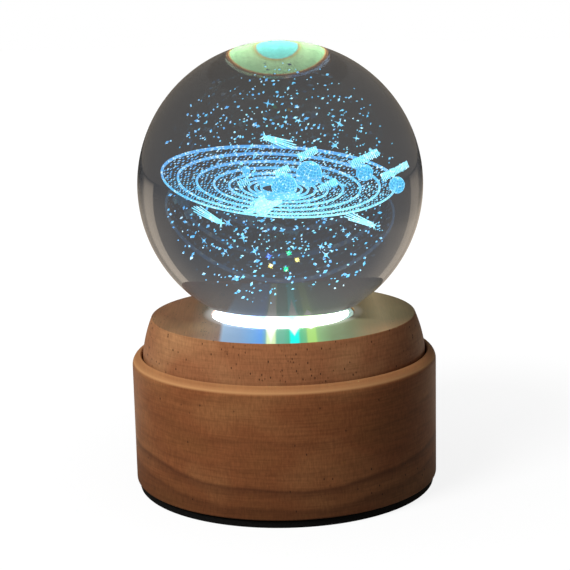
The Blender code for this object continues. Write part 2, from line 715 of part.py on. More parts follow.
def build_cover(plastic, steel):
    """The bottom cover with its counterbored screws and the holes for what stands on it."""
    profile = [
        (0, 0),
        (COVER_RADIUS - COVER_EDGE, 0),
        (COVER_RADIUS, COVER_EDGE),
        (COVER_RADIUS, COVER_THICKNESS),
        (0, COVER_THICKNESS),
    ]
    cover = turned("bottom_cover", profile, WOOD_SEGMENTS, (0, 0, BODY_BOTTOM), plastic)
    head_radius = SCREW_HEAD_RADIUS + SCREW_GAP
    head_depth = SCREW_HEAD_HEIGHT + 2 * FACE_GAP + CUT_OVERRUN
    through = COVER_THICKNESS + CUT_OVERRUN
    for index, place in enumerate(cover_screw_places(BODY_BOTTOM)):
        tag = index + 1
        head_place = raised(place, -CUT_OVERRUN)
        head_name = f"cover_head_cutter_{tag}"
        cut(cover, rod(head_name, head_radius, head_depth, head_place, None, "Z", SCREW_SEGMENTS))
        cut(cover, screw_hole(f"cover_hole_cutter_{tag}", through, place))
        seat = raised(place, FACE_GAP + SCREW_HEAD_HEIGHT)
        screw(f"cover_screw_{tag}", COVER_SCREW_LENGTH, seat, steel)
    standing = column_screw_places(BODY_BOTTOM) + cradle_screw_places(BODY_BOTTOM)
    for index, place in enumerate(standing):
        cut(cover, screw_hole(f"cover_plate_cutter_{index + 1}", through, place))


def build_foot_pad(foam):
    """The black pad glued over the whole underside."""
    rod("foot_pad", BODY_RADIUS - PAD_INSET, PAD_THICKNESS, (0, 0, 0), foam, "Z", WOOD_SEGMENTS)


def build_cradle(plastic, steel):
    """The cradle that stands on the cover and holds the motor's can, with its two screws."""
    size = (2 * CRADLE_HALF_X, 2 * CRADLE_HALF_Y, CRADLE_HEIGHT)
    cradle = block("motor_cradle", size, (GEAR_CENTRES, 0, FLOOR_LEVEL + CRADLE_HEIGHT / 2), plastic)
    ear_size = (CRADLE_EAR_WIDTH, 2 * (CRADLE_HALF_Y + CRADLE_EAR_LENGTH), CRADLE_EAR_THICKNESS)
    ear_place = (GEAR_CENTRES, 0, FLOOR_LEVEL + CRADLE_EAR_THICKNESS / 2)
    add(cradle, block("cradle_ear_helper", ear_size, ear_place, None))
    pocket_place = (GEAR_CENTRES, 0, FLOOR_LEVEL + CRADLE_FLOOR)
    pocket_radius = CAN_RADIUS + FACE_GAP
    pocket = rod("cradle_pocket_cutter", pocket_radius, CRADLE_HEIGHT, pocket_place, None, "Z", RING_SEGMENTS)
    flat_size = (2 * CRADLE_HALF_X, 2 * (CAN_RADIUS * CAN_FLAT_SHARE + FACE_GAP), 3 * CRADLE_HEIGHT)
    combine(pocket, block("cradle_flat_helper", flat_size, pocket_place, None), "INTERSECT")
    cut(cradle, pocket)
    through = CRADLE_EAR_THICKNESS + CUT_OVERRUN
    for index, place in enumerate(cradle_screw_places(FLOOR_LEVEL)):
        cut(cradle, screw_hole(f"cradle_hole_cutter_{index + 1}", through, place))
        seat = raised(place, CRADLE_EAR_THICKNESS + FACE_GAP)
        screw(f"cradle_screw_{index + 1}", PLATE_SCREW_LENGTH, seat, steel, "down")


def build_motor(can_metal, gearbox_metal):
    """The flat-sided motor can and the gearbox on top of it."""
    place = (GEAR_CENTRES, 0, CAN_BOTTOM)
    can = rod("motor_can", CAN_RADIUS, CAN_HEIGHT, place, can_metal, "Z", RING_SEGMENTS)
    flat_size = (3 * CAN_RADIUS, 2 * CAN_RADIUS * CAN_FLAT_SHARE, 3 * CAN_HEIGHT)
    combine(can, block("motor_can_helper", flat_size, place, None), "INTERSECT")
    size = (GEARBOX_WIDTH, GEARBOX_DEPTH, GEARBOX_HEIGHT)
    box_place = (GEAR_CENTRES, 0, GEARBOX_BOTTOM + GEARBOX_HEIGHT / 2)
    block("motor_gearbox", size, box_place, gearbox_metal, GEARBOX_EDGE)


def build_pinion(brass, steel):
    """The motor's output shaft and the pinion on it."""
    start = GEARBOX_TOP + FACE_GAP
    shaft_length = HUB_TOP - SHAFT_END_INSET - start
    shaft = rod("motor_shaft", SHAFT_RADIUS, shaft_length, (GEAR_CENTRES, 0, start), steel)
    outline = gear_outline(PINION_TEETH, math.pi)
    pinion = extruded("drive_pinion", outline, GEAR_WIDTH, (GEAR_CENTRES, 0, GEAR_BOTTOM), brass)
    bore_place = (GEAR_CENTRES, 0, GEAR_BOTTOM - CUT_OVERRUN)
    bore_length = GEAR_WIDTH + 2 * CUT_OVERRUN
    cut(pinion, rod("pinion_bore_cutter", SHAFT_RADIUS + SCREW_GAP, bore_length, bore_place, None))
    return [shaft, pinion]


def build_battery(plastic, foil):
    """The pouch cell on its edge in an open-topped tray."""
    wall = FACE_GAP + TRAY_WALL
    size = (CELL_THICKNESS + 2 * wall, CELL_LENGTH + 2 * wall, TRAY_HEIGHT)
    tray = block("battery_tray", size, (CELL_CENTRE_X, 0, FLOOR_LEVEL + TRAY_HEIGHT / 2), plastic)
    hollow_size = (CELL_THICKNESS + 2 * FACE_GAP, CELL_LENGTH + 2 * FACE_GAP, TRAY_HEIGHT)
    hollow_place = (CELL_CENTRE_X, 0, FLOOR_LEVEL + TRAY_FLOOR + TRAY_HEIGHT / 2)
    cut(tray, block("tray_cutter", hollow_size, hollow_place, None))
    cell_place = (CELL_CENTRE_X, 0, CELL_BOTTOM + CELL_HEIGHT / 2)
    block("battery_cell", (CELL_THICKNESS, CELL_LENGTH, CELL_HEIGHT), cell_place, foil, CELL_EDGE)


def build_bezel(plastic):
    """The insert in the body's back: plug recess, button hole and the posts that carry the board."""
    size = (BEZEL_WIDTH, BEZEL_DEPTH, BEZEL_HEIGHT)
    bezel = block("port_bezel", size, (0, BEZEL_FACE - BEZEL_DEPTH / 2, PORT_LEVEL), plastic, BEZEL_EDGE)
    post_start = BOARD_FACE + FACE_GAP
    post_length = BEZEL_FACE - BEZEL_DEPTH / 2 - post_start
    hole_length = BOARD_SCREW_LENGTH + PILOT_SPARE - FACE_GAP - BOARD_THICKNESS - FACE_GAP
    for side, tag in ((-1, "left"), (1, "right")):
        place = (side * POST_OFFSET, post_start, PORT_LEVEL)
        add(bezel, rod(f"post_helper_{tag}", POST_RADIUS, post_length, place, None, "Y"))
        cut(bezel, screw_hole(f"post_pilot_cutter_{tag}", hole_length, place, "Y"))
    recess_size = (PLUG_RECESS_WIDTH, 2 * PLUG_RECESS_DEPTH, PLUG_RECESS_HEIGHT)
    recess = block("plug_recess_cutter", recess_size, (-SOCKET_OFFSET, BEZEL_FACE, PORT_LEVEL), None)
    throat = extruded(
        "socket_throat_cutter",
        stadium(SOCKET_WIDTH + 2 * FACE_GAP, SOCKET_HEIGHT + 2 * FACE_GAP),
        BEZEL_DEPTH + CUT_OVERRUN,
        (-SOCKET_OFFSET, BEZEL_BACK - CUT_OVERRUN, PORT_LEVEL),
        None,
    )
    throat.rotation_euler = (math.radians(-90), 0, 0)
    hole_place = (BUTTON_OFFSET, BEZEL_BACK - CUT_OVERRUN, PORT_LEVEL)
    hole_depth = BEZEL_DEPTH + 2 * CUT_OVERRUN
    hole = rod("button_hole_cutter", BUTTON_RADIUS + RUNNING_GAP, hole_depth, hole_place, None, "Y")
    cut(bezel, recess, throat, hole)


def build_board(laminate, steel):
    """The control board behind the bezel, with the screws that hold it to the posts."""
    size = (BOARD_WIDTH, BOARD_THICKNESS, BOARD_HEIGHT)
    board = block("control_board", size, (0, BOARD_FACE - BOARD_THICKNESS / 2, PORT_LEVEL), laminate)
    for index, side in enumerate((-1, 1)):
        place = Vector((side * POST_OFFSET, BOARD_BACK, PORT_LEVEL))
        through = BOARD_THICKNESS + CUT_OVERRUN
        cut(board, screw_hole(f"board_hole_cutter_{index + 1}", through, place, "Y"))
        seat = place - Vector((0, FACE_GAP, 0))
        screw(f"board_screw_{index + 1}", BOARD_SCREW_LENGTH, seat, steel, "back")


def build_socket(metal):
    """The power socket: a shell with round ends and a tongue inside."""
    outline = stadium(SOCKET_WIDTH, SOCKET_HEIGHT)
    shell = extruded("usb_socket", outline, SOCKET_LENGTH, (-SOCKET_OFFSET, SOCKET_END, PORT_LEVEL), metal)
    hollow_outline = stadium(SOCKET_WIDTH - 2 * SOCKET_WALL, SOCKET_HEIGHT - 2 * SOCKET_WALL)
    hollow_place = (-SOCKET_OFFSET, SOCKET_END + SOCKET_BACK, PORT_LEVEL)
    hollow = extruded("socket_cutter", hollow_outline, SOCKET_LENGTH, hollow_place, None)
    for obj in (shell, hollow):
        obj.rotation_euler = (math.radians(-90), 0, 0)
    root = SOCKET_BACK / 2
    tongue_size = (TONGUE_WIDTH, TONGUE_LENGTH + root, TONGUE_THICKNESS)
    tongue_place = (-SOCKET_OFFSET, SOCKET_END + root + tongue_size[1] / 2, PORT_LEVEL)
    cut(shell, hollow)
    add(shell, block("tongue_helper", tongue_size, tongue_place, None))


def build_switch(plastic):
    """The push switch's housing on the board, with the well that its plunger slides in."""
    size = (SWITCH_WIDTH, SWITCH_DEPTH, SWITCH_WIDTH)
    switch = block("push_switch", size, (BUTTON_OFFSET, SWITCH_BACK + SWITCH_DEPTH / 2, PORT_LEVEL), plastic)
    well_width = PLUNGER_WIDTH + 2 * RUNNING_GAP
    well_depth = PLUNGER_SEAT + BUTTON_TRAVEL + FACE_GAP
    well_place = (BUTTON_OFFSET, SWITCH_FACE, PORT_LEVEL)
    cut(switch, block("switch_well_cutter", (well_width, 2 * well_depth, well_width), well_place, None))


def build_button(plastic, white_plastic):
    """The flanged button cap and the switch plunger that it presses."""
    length = BUTTON_FACE - BUTTON_BACK
    profile = [
        (0, 0),
        (BUTTON_RADIUS + BUTTON_FLANGE, 0),
        (BUTTON_RADIUS + BUTTON_FLANGE, BUTTON_FLANGE),
        (BUTTON_RADIUS, BUTTON_FLANGE),
        (BUTTON_RADIUS, length - BUTTON_EDGE),
        (BUTTON_RADIUS - BUTTON_EDGE, length),
        (0, length),
    ]
    cap_place = (BUTTON_OFFSET, BUTTON_BACK, PORT_LEVEL)
    button = turned("power_button", profile, SMALL_SEGMENTS, cap_place, plastic)
    button.rotation_euler = (math.radians(-90), 0, 0)
    plunger_length = BUTTON_BACK - FACE_GAP - PLUNGER_BACK
    place = (BUTTON_OFFSET, PLUNGER_BACK + plunger_length / 2, PORT_LEVEL)
    plunger = block("switch_plunger", (PLUNGER_WIDTH, plunger_length, PLUNGER_WIDTH), place, white_plastic)
    return [button, plunger]


def build_leads(red, white, black):
    """The leads from the control board to the lamp board, the motor and the cell."""
    back = BOARD_BACK - FACE_GAP
    top = LED_BOARD_BOTTOM - FACE_GAP
    bow = LED_LEAD_BOW_SHARE * COLUMN_BORE
    stops = []
    for bowed, along, height in LED_LEAD_DROP_SHARES + LED_LEAD_RUN_SHARES:
        stops.append((0, back * along - bow * bowed, WINDOW_LEVEL + (top - WINDOW_LEVEL) * height))
    lead("led_lead", stops, white)
    pad = BOARD_WIDTH * LEAD_PAD_SHARE
    can_level = (FLOOR_LEVEL + CRADLE_HEIGHT + CAN_BOTTOM + CAN_HEIGHT) / 2
    can_start = (GEAR_CENTRES, CAN_RADIUS * CAN_FLAT_SHARE + FACE_GAP, can_level)
    level_lead("motor_lead", can_start, (pad, back), MOTOR_LEAD_SHARES, black)
    cell_level = (FLOOR_LEVEL + TRAY_HEIGHT + CELL_BOTTOM + CELL_HEIGHT) / 2
    cell_start = (CELL_CENTRE_X, CELL_LENGTH / 2 + FACE_GAP, cell_level)
    level_lead("battery_lead", cell_start, (-pad, back), BATTERY_LEAD_SHARES, red)


def main():
    """Builds every piece, and parents the moving ones to an empty on their joint's axis."""
    clear_scene()
    steel = finish("zinc_plated_steel", (0.55, 0.56, 0.58), 0.30, metallic=1.0)
    beech = finish("lacquered_beech", (0.34, 0.17, 0.08), 0.38)
    black_abs = finish("black_abs", (0.03, 0.03, 0.03), 0.45)
    grey_abs = finish("grey_abs", (0.20, 0.20, 0.21), 0.50)
    nylon = finish("white_nylon", (0.78, 0.77, 0.72), 0.42)
    laminate = finish("green_laminate", (0.02, 0.16, 0.07), 0.35)
    white_resin = finish("white_resin", (0.85, 0.85, 0.83), 0.40)
    diodes = {
        "led_blue": finish("blue_lens", (0.05, 0.25, 1.0), 0.2, glow=4.0),
        "led_green": finish("green_lens", (0.10, 1.0, 0.30), 0.2, glow=4.0),
        "led_white": finish("white_lens", (1.0, 0.93, 0.80), 0.2, glow=4.0),
        "led_yellow": finish("yellow_lens", (1.0, 0.80, 0.20), 0.2, glow=4.0),
    }
    ball = build_ball(finish("optical_glass", (0.92, 0.95, 0.96), 0.0, transmission=1.0))
    disc = build_seat_disc(finish("frosted_acrylic", (0.90, 0.95, 0.95), 0.5, transmission=0.6))
    stage = build_stage(beech)
    hub_pieces = build_hub(nylon, steel)
    build_washer(nylon)
    build_column(black_abs, steel)
    build_lamp_board(laminate, diodes)
    build_body(beech)
    build_cover(black_abs, steel)
    build_foot_pad(finish("black_foam_rubber", (0.015, 0.015, 0.015), 0.9))
    build_cradle(grey_abs, steel)
    build_motor(steel, finish("die_cast_zinc", (0.45, 0.45, 0.46), 0.45, metallic=1.0))
    pinion_pieces = build_pinion(finish("turned_brass", (0.72, 0.52, 0.20), 0.30, metallic=1.0), steel)
    build_battery(grey_abs, finish("pouch_foil", (0.60, 0.61, 0.63), 0.35, metallic=1.0))
    build_bezel(black_abs)
    build_board(laminate, steel)
    build_socket(steel)
    build_switch(black_abs)
    button_pieces = build_button(grey_abs, white_resin)
    build_leads(
        finish("red_pvc", (0.45, 0.02, 0.02), 0.5),
        finish("white_pvc", (0.75, 0.75, 0.73), 0.5),
        finish("black_pvc", (0.02, 0.02, 0.02), 0.5),
    )
    carry("turntable_axis", (0, 0, STAGE_BOTTOM), [ball, disc, stage, *hub_pieces])
    carry("pinion_axis", (GEAR_CENTRES, 0, GEAR_BOTTOM), pinion_pieces)
    carry("button_axis", (BUTTON_OFFSET, BEZEL_FACE, PORT_LEVEL), button_pieces)


main()
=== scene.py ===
"""Looks of the rotating crystal ball lamp: glass with a picture inside, lit from below, on turned beech.

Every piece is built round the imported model's frame and rides on one of its bodies. Sizes are in millimetres
and become metres where a mesh is finished.
"""

import json
import logging
import math
import random
from dataclasses import dataclass
from enum import Enum
from functools import partial
from typing import Any, Callable, Iterable, Sequence

import bmesh
import bpy
from mathutils import Matrix, Vector


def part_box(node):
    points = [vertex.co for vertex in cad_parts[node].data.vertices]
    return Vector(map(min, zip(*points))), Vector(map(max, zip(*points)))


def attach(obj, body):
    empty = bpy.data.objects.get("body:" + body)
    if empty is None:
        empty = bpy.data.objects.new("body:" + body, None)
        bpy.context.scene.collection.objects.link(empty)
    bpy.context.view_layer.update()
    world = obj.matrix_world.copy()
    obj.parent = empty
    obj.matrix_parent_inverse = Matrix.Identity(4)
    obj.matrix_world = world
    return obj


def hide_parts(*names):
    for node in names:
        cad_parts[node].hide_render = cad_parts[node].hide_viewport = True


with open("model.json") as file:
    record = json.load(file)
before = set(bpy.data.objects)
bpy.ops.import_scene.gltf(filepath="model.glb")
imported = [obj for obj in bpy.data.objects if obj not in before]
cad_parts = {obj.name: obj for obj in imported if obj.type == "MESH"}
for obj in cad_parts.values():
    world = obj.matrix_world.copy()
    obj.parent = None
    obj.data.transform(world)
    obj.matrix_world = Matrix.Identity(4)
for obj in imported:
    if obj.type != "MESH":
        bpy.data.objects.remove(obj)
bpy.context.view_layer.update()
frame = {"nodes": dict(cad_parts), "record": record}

Point = tuple[float, float, float]
Colour = tuple[float, float, float, float]
Node = bpy.types.Node
Socket = bpy.types.NodeSocket
Shape = bmesh.types.BMesh
Adder = Callable[..., Node]

MM = 0.001
# Period of a pattern that doesn't change along an axis, in millimetres.
ENDLESS = 1e6
# Facets round a turned piece, and how near to a ring a corner of it counts as part of the ring.
TURN_STEPS = 192
NEAR = 0.01
# Colour of the room that the glass mirrors.
ROOM_TONE = "#ffecd4"
# The setting that holds the mode of each kind of node.
MODES = {
    "Math": "operation", "VectorMath": "operation", "MixRGB": "blend_type", "MapRange": "interpolation_type"}
log = logging.getLogger("crystal_ball_lamp")


class Body(Enum):
    """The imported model's bodies that pieces ride on."""

    BASE = "base"
    TURNTABLE = "turntable"
    BALL = "ball"


def to_linear(hex_colour: str) -> Colour:
    """Turns an sRGB hex value into the linear colour that a shader reads.

    Args:
        hex_colour: Six hex digits after a hash sign.

    Returns:
        Red, green, blue and a full alpha.
    """
    shares = [int(hex_colour[at : at + 2], 16) / 255 for at in (1, 3, 5)]
    linear = [s / 12.92 if s <= 0.04045 else ((s + 0.055) / 1.055) ** 2.4 for s in shares]
    return (*linear, 1.0)


def add_node(tree: bpy.types.NodeTree, kind: str, inputs: dict | Sequence = (), mode: str = "",
             stops: Sequence = (), **settings: Any) -> Node:
    """Adds one shader node with its settings, values and links.

    Args:
        tree: The material's or the world's node tree.
        kind: The node's type after the word ShaderNode, such as TexNoise.
        inputs: What goes into each input, by its name or in the inputs' order: a value, a hex colour, another
            node's socket, or a node that gives its first output.
        mode: Its operation, blend type or kind of interpolation.
        stops: Places of a colour ramp, each with a hex colour or a grey level.
        settings: The node's own properties.

    Returns:
        The new node.
    """
    node = tree.nodes.new(f"ShaderNode{kind}")
    if mode:
        setattr(node, MODES[kind], mode)
    for name, value in settings.items():
        setattr(node, name, value)
    for key, value in inputs.items() if isinstance(inputs, dict) else enumerate(inputs):
        if isinstance(value, Node):
            value = value.outputs[0]
        if isinstance(value, Socket):
            tree.links.new(value, node.inputs[key])
        else:
            node.inputs[key].default_value = to_linear(value) if isinstance(value, str) else value
    for _ in stops[2:]:
        node.color_ramp.elements.new(1.0)
    for at, (place, colour) in enumerate(stops):
        element = node.color_ramp.elements[at]
        element.position = place
        element.color = to_linear(colour) if isinstance(colour, str) else (colour, colour, colour, 1.0)
    return node


def millimetres(add: Adder, period: Point = (1, 1, 1), centre: Point = (0, 0, 0)) -> Socket:
    """Object coordinates measured in periods of a pattern.

    Args:
        add: Adds a node to the tree.
        period: Length of one period along X, Y and Z. An endless one takes its axis out of the pattern.
        centre: Where the pattern starts.

    Returns:
        The vector socket.
    """
    scale = [1 / (MM * length) for length in period]
    shift = [-at / length for at, length in zip(centre, period)]
    place = add("TexCoord").outputs["Object"]
    return add("Mapping", {"Vector": place, "Scale": scale, "Location": shift}).outputs[0]


def along(rows: Sequence[tuple]) -> list[tuple]:
    """A ramp's stops, with each place as a share of the way from the first to the last."""
    first, last = rows[0][0], rows[-1][0]
    return [((place - first) / (last - first), value) for place, value in rows]


def ray_uses(add: Adder, rays: Any) -> tuple[Node, Node]:
    """Nodes for a ray that shows a thing, straight or through glass, and for one that the glass mirrors."""
    through = rays["Is Transmission Ray"]
    shows = add("Math", (rays["Is Camera Ray"], through), "MAXIMUM")
    mirrored = add("Math", (rays["Is Glossy Ray"], through), "SUBTRACT", use_clamp=True)
    return shows, mirrored


@dataclass(frozen=True)
class Finish:
    """What a surface is made of and how it was made."""

    name: str

    def shade(self, add: Adder) -> Node:
        """Adds the finish's own nodes and returns its shader."""
        raise NotImplementedError

    def build(self) -> bpy.types.Material:
        """Makes a material whose node tree ends in this finish's shader."""
        material = bpy.data.materials.new(self.name)
        material.use_nodes = True
        material.node_tree.nodes.clear()
        add = partial(add_node, material.node_tree)
        add("OutputMaterial", {"Surface": self.shade(add)})
        return material


@dataclass(frozen=True)
class PolishedGlass(Finish):
    """Optical glass, ground and polished to a sphere.

    Clear and free of bubbles. Its smoky grey is painted shade for the dim room seen through it, and it is
    painted paler towards the foot as the foot's light. It bends and turns round what lies behind it, and its
    rim mirrors the surroundings.
    """

    ior: float = 1.52
    foot: float = 49.0
    height: float = 76.8
    # Painted shade and light: smoky grey for the dim room seen through it, paler towards the lit foot.
    shade_and_light_tones: tuple = (
        (0.0, "#908f8c"), (0.088, "#84827f"), (0.16, "#716f6e"), (0.219, "#606062"), (0.297, "#4f5257"),
        (0.375, "#494b4f"), (0.5, "#494a4d"), (0.62, "#4a4a4a"), (1.0, "#494846"))

    def shade(self, add: Adder) -> Node:
        """A glass shader whose tone changes with the height above the foot."""
        rise = add("SeparateXYZ", [millimetres(add, (self.height,) * 3, (0, 0, self.foot))]).outputs["Z"]
        tone = add("ValToRGB", [rise], stops=self.shade_and_light_tones)
        return add("BsdfPrincipled", {
            "Base Color": tone, "Roughness": 0.0, "IOR": self.ior, "Transmission Weight": 1.0})


@dataclass(frozen=True)
class GroundGlass(Finish):
    """The ball's foot, cut flat and ground with coarse grit, so that it scatters the diodes' light.

    The eye sees it in the mirror of the ball's back: a pale green round with fine grinding lines, a brighter
    blue-green middle over the light hole, and an orange fringe where the glass spreads the colours.
    """

    hole_radius: float = 7.2
    flat_radius: float = 15.7
    grinding: Point = (0.7, 14, ENDLESS)
    glow: float = 25.0

    def shade(self, add: Adder) -> Node:
        """Rings of colour by the distance from the axis, under straight grinding lines."""
        spot = millimetres(add, (self.flat_radius, self.flat_radius, ENDLESS))
        share = add("VectorMath", [spot], "LENGTH").outputs["Value"]
        edge = self.hole_radius / self.flat_radius
        rings = add("ValToRGB", [share], stops=(
            (0.0, "#7cf8f8"), (edge - 0.03, "#82f8ea"), (edge, "#c9b070"), (edge + 0.03, "#a9c886"),
            (edge + 0.08, "#bcecb0"), (0.93, "#a8e4a8"), (0.965, "#c8904e"), (1.0, "#7a3c1e")))
        lines = add("TexNoise", {"Vector": millimetres(add, self.grinding), "Scale": 1.0, "Detail": 3.0})
        bands = add("ValToRGB", [lines], stops=((0.3, 0.62), (0.55, 1.0)))
        colour = add("MixRGB", (0.5, rings, bands), "MULTIPLY")
        return add("BsdfPrincipled", {
            "Base Color": "#9aa8a0", "Roughness": 0.7, "Emission Color": colour,
            "Emission Strength": self.glow})


@dataclass(frozen=True)
class GroundBevel(Finish):
    """The ground bevel round the ball's foot, where the light leaves the glass as a warm fringe."""

    glow: float = 6.0

    def shade(self, add: Adder) -> Node:
        """Orange light, a little uneven from the grit."""
        grit = add("TexNoise", {"Vector": millimetres(add), "Scale": 1.0})
        colour = add("ValToRGB", [grit], stops=((0.3, "#c8803c"), (0.7, "#e0a060")))
        return add("BsdfPrincipled", {
            "Base Color": "#b0a898", "Roughness": 0.6, "Emission Color": colour,
            "Emission Strength": self.glow})


@dataclass(frozen=True)
class FrostedAcrylic(Finish):
    """Cast acrylic sheet, blasted matt, lit from below and from its edge.

    Its round of light about the ball is the brightest thing in view and burns out to white. Each diode tints
    its own side, blue on the left and green on the right, and the rim stays dim.
    """

    glow: float = 14.0
    rim_share: float = 0.02
    light_centre: Point = (-1.2, -0.4, 0)
    light_edge: tuple = (19.6, 20.0)
    half_width: float = 20.0
    tints: tuple = (
        (0.0, "#c8d4e0"), (0.2, "#a4c8f4"), (0.36, "#88b4ff"), (0.42, "#fff8e0"), (0.48, "#b0e8d8"),
        (0.57, "#88ffd8"), (0.64, "#d8ffb0"), (0.8, "#c8e8c0"), (1.0, "#d0e0c8"))

    def shade(self, add: Adder) -> Node:
        """Colours from left to right inside a round of light."""
        width, start = 2 * self.half_width, -self.half_width
        place = millimetres(add, (width, width, ENDLESS), (start, start, 0))
        tint = add("ValToRGB", [add("SeparateXYZ", [place]).outputs["X"]], stops=self.tints)
        spot = millimetres(add, (1, 1, ENDLESS), self.light_centre)
        reach = add("VectorMath", [spot], "LENGTH").outputs["Value"]
        lit = add("MapRange", (reach, *self.light_edge, 1.0, self.rim_share))
        level = add("Math", (lit, self.glow), "MULTIPLY")
        return add("BsdfPrincipled", {
            "Base Color": "#e6f0ee", "Roughness": 0.5, "Emission Color": tint, "Emission Strength": level})


@dataclass(frozen=True)
class LaserMark(Finish):
    """Fine cracks that a focused laser leaves inside the glass.

    They scatter the light that comes from below, so they glow blue at the back and turn to a pale blue-green
    towards the front and the right, where the green diode stands.
    """

    glow: float = 5.6
    cool: str = "#5698d4"
    warm: str = "#5cb8e8"
    hot: str = "#90e8f8"
    spark: str = "#e4ffff"
    heart: Point = (0, 0, 85.8)
    reach: float = 44.0
    cloud: float = 5.0
    grain: float = 0.45

    def shade(self, add: Adder) -> Node:
        """Blue to pale blue-green along a slanting line through the ball."""
        parts = add("SeparateXYZ", [millimetres(add, (self.reach,) * 3, self.heart)]).outputs
        cloud = add("TexNoise", {"Vector": millimetres(add, (self.cloud,) * 3), "Scale": 1.0, "Detail": 2.0})
        front = add("Math", (parts["Y"], -1.5, cloud), "MULTIPLY_ADD")
        right = add("Math", (parts["X"], 0.5, front), "MULTIPLY_ADD")
        share = add("MapRange", (right, -0.1, 1.25))
        colour = add("ValToRGB", [share], stops=((0.0, self.cool), (0.45, self.warm), (1.0, self.hot)))
        grain = add("TexNoise", {"Vector": millimetres(add, (self.grain,) * 3), "Scale": 1.0})
        burnt = add("MapRange", (grain, 0.52, 0.68, 0.0, 0.8))
        sparked = add("MixRGB", (burnt, colour, self.spark))
        return add("BsdfPrincipled", {
            "Base Color": "#20303a", "Roughness": 0.8, "Emission Color": sparked,
            "Emission Strength": self.glow})

    def build(self) -> bpy.types.Material:
        """Makes the material and keeps its thousands of marks from being sampled as lamps."""
        material = super().build()
        material.cycles.emission_sampling = "NONE"
        return material


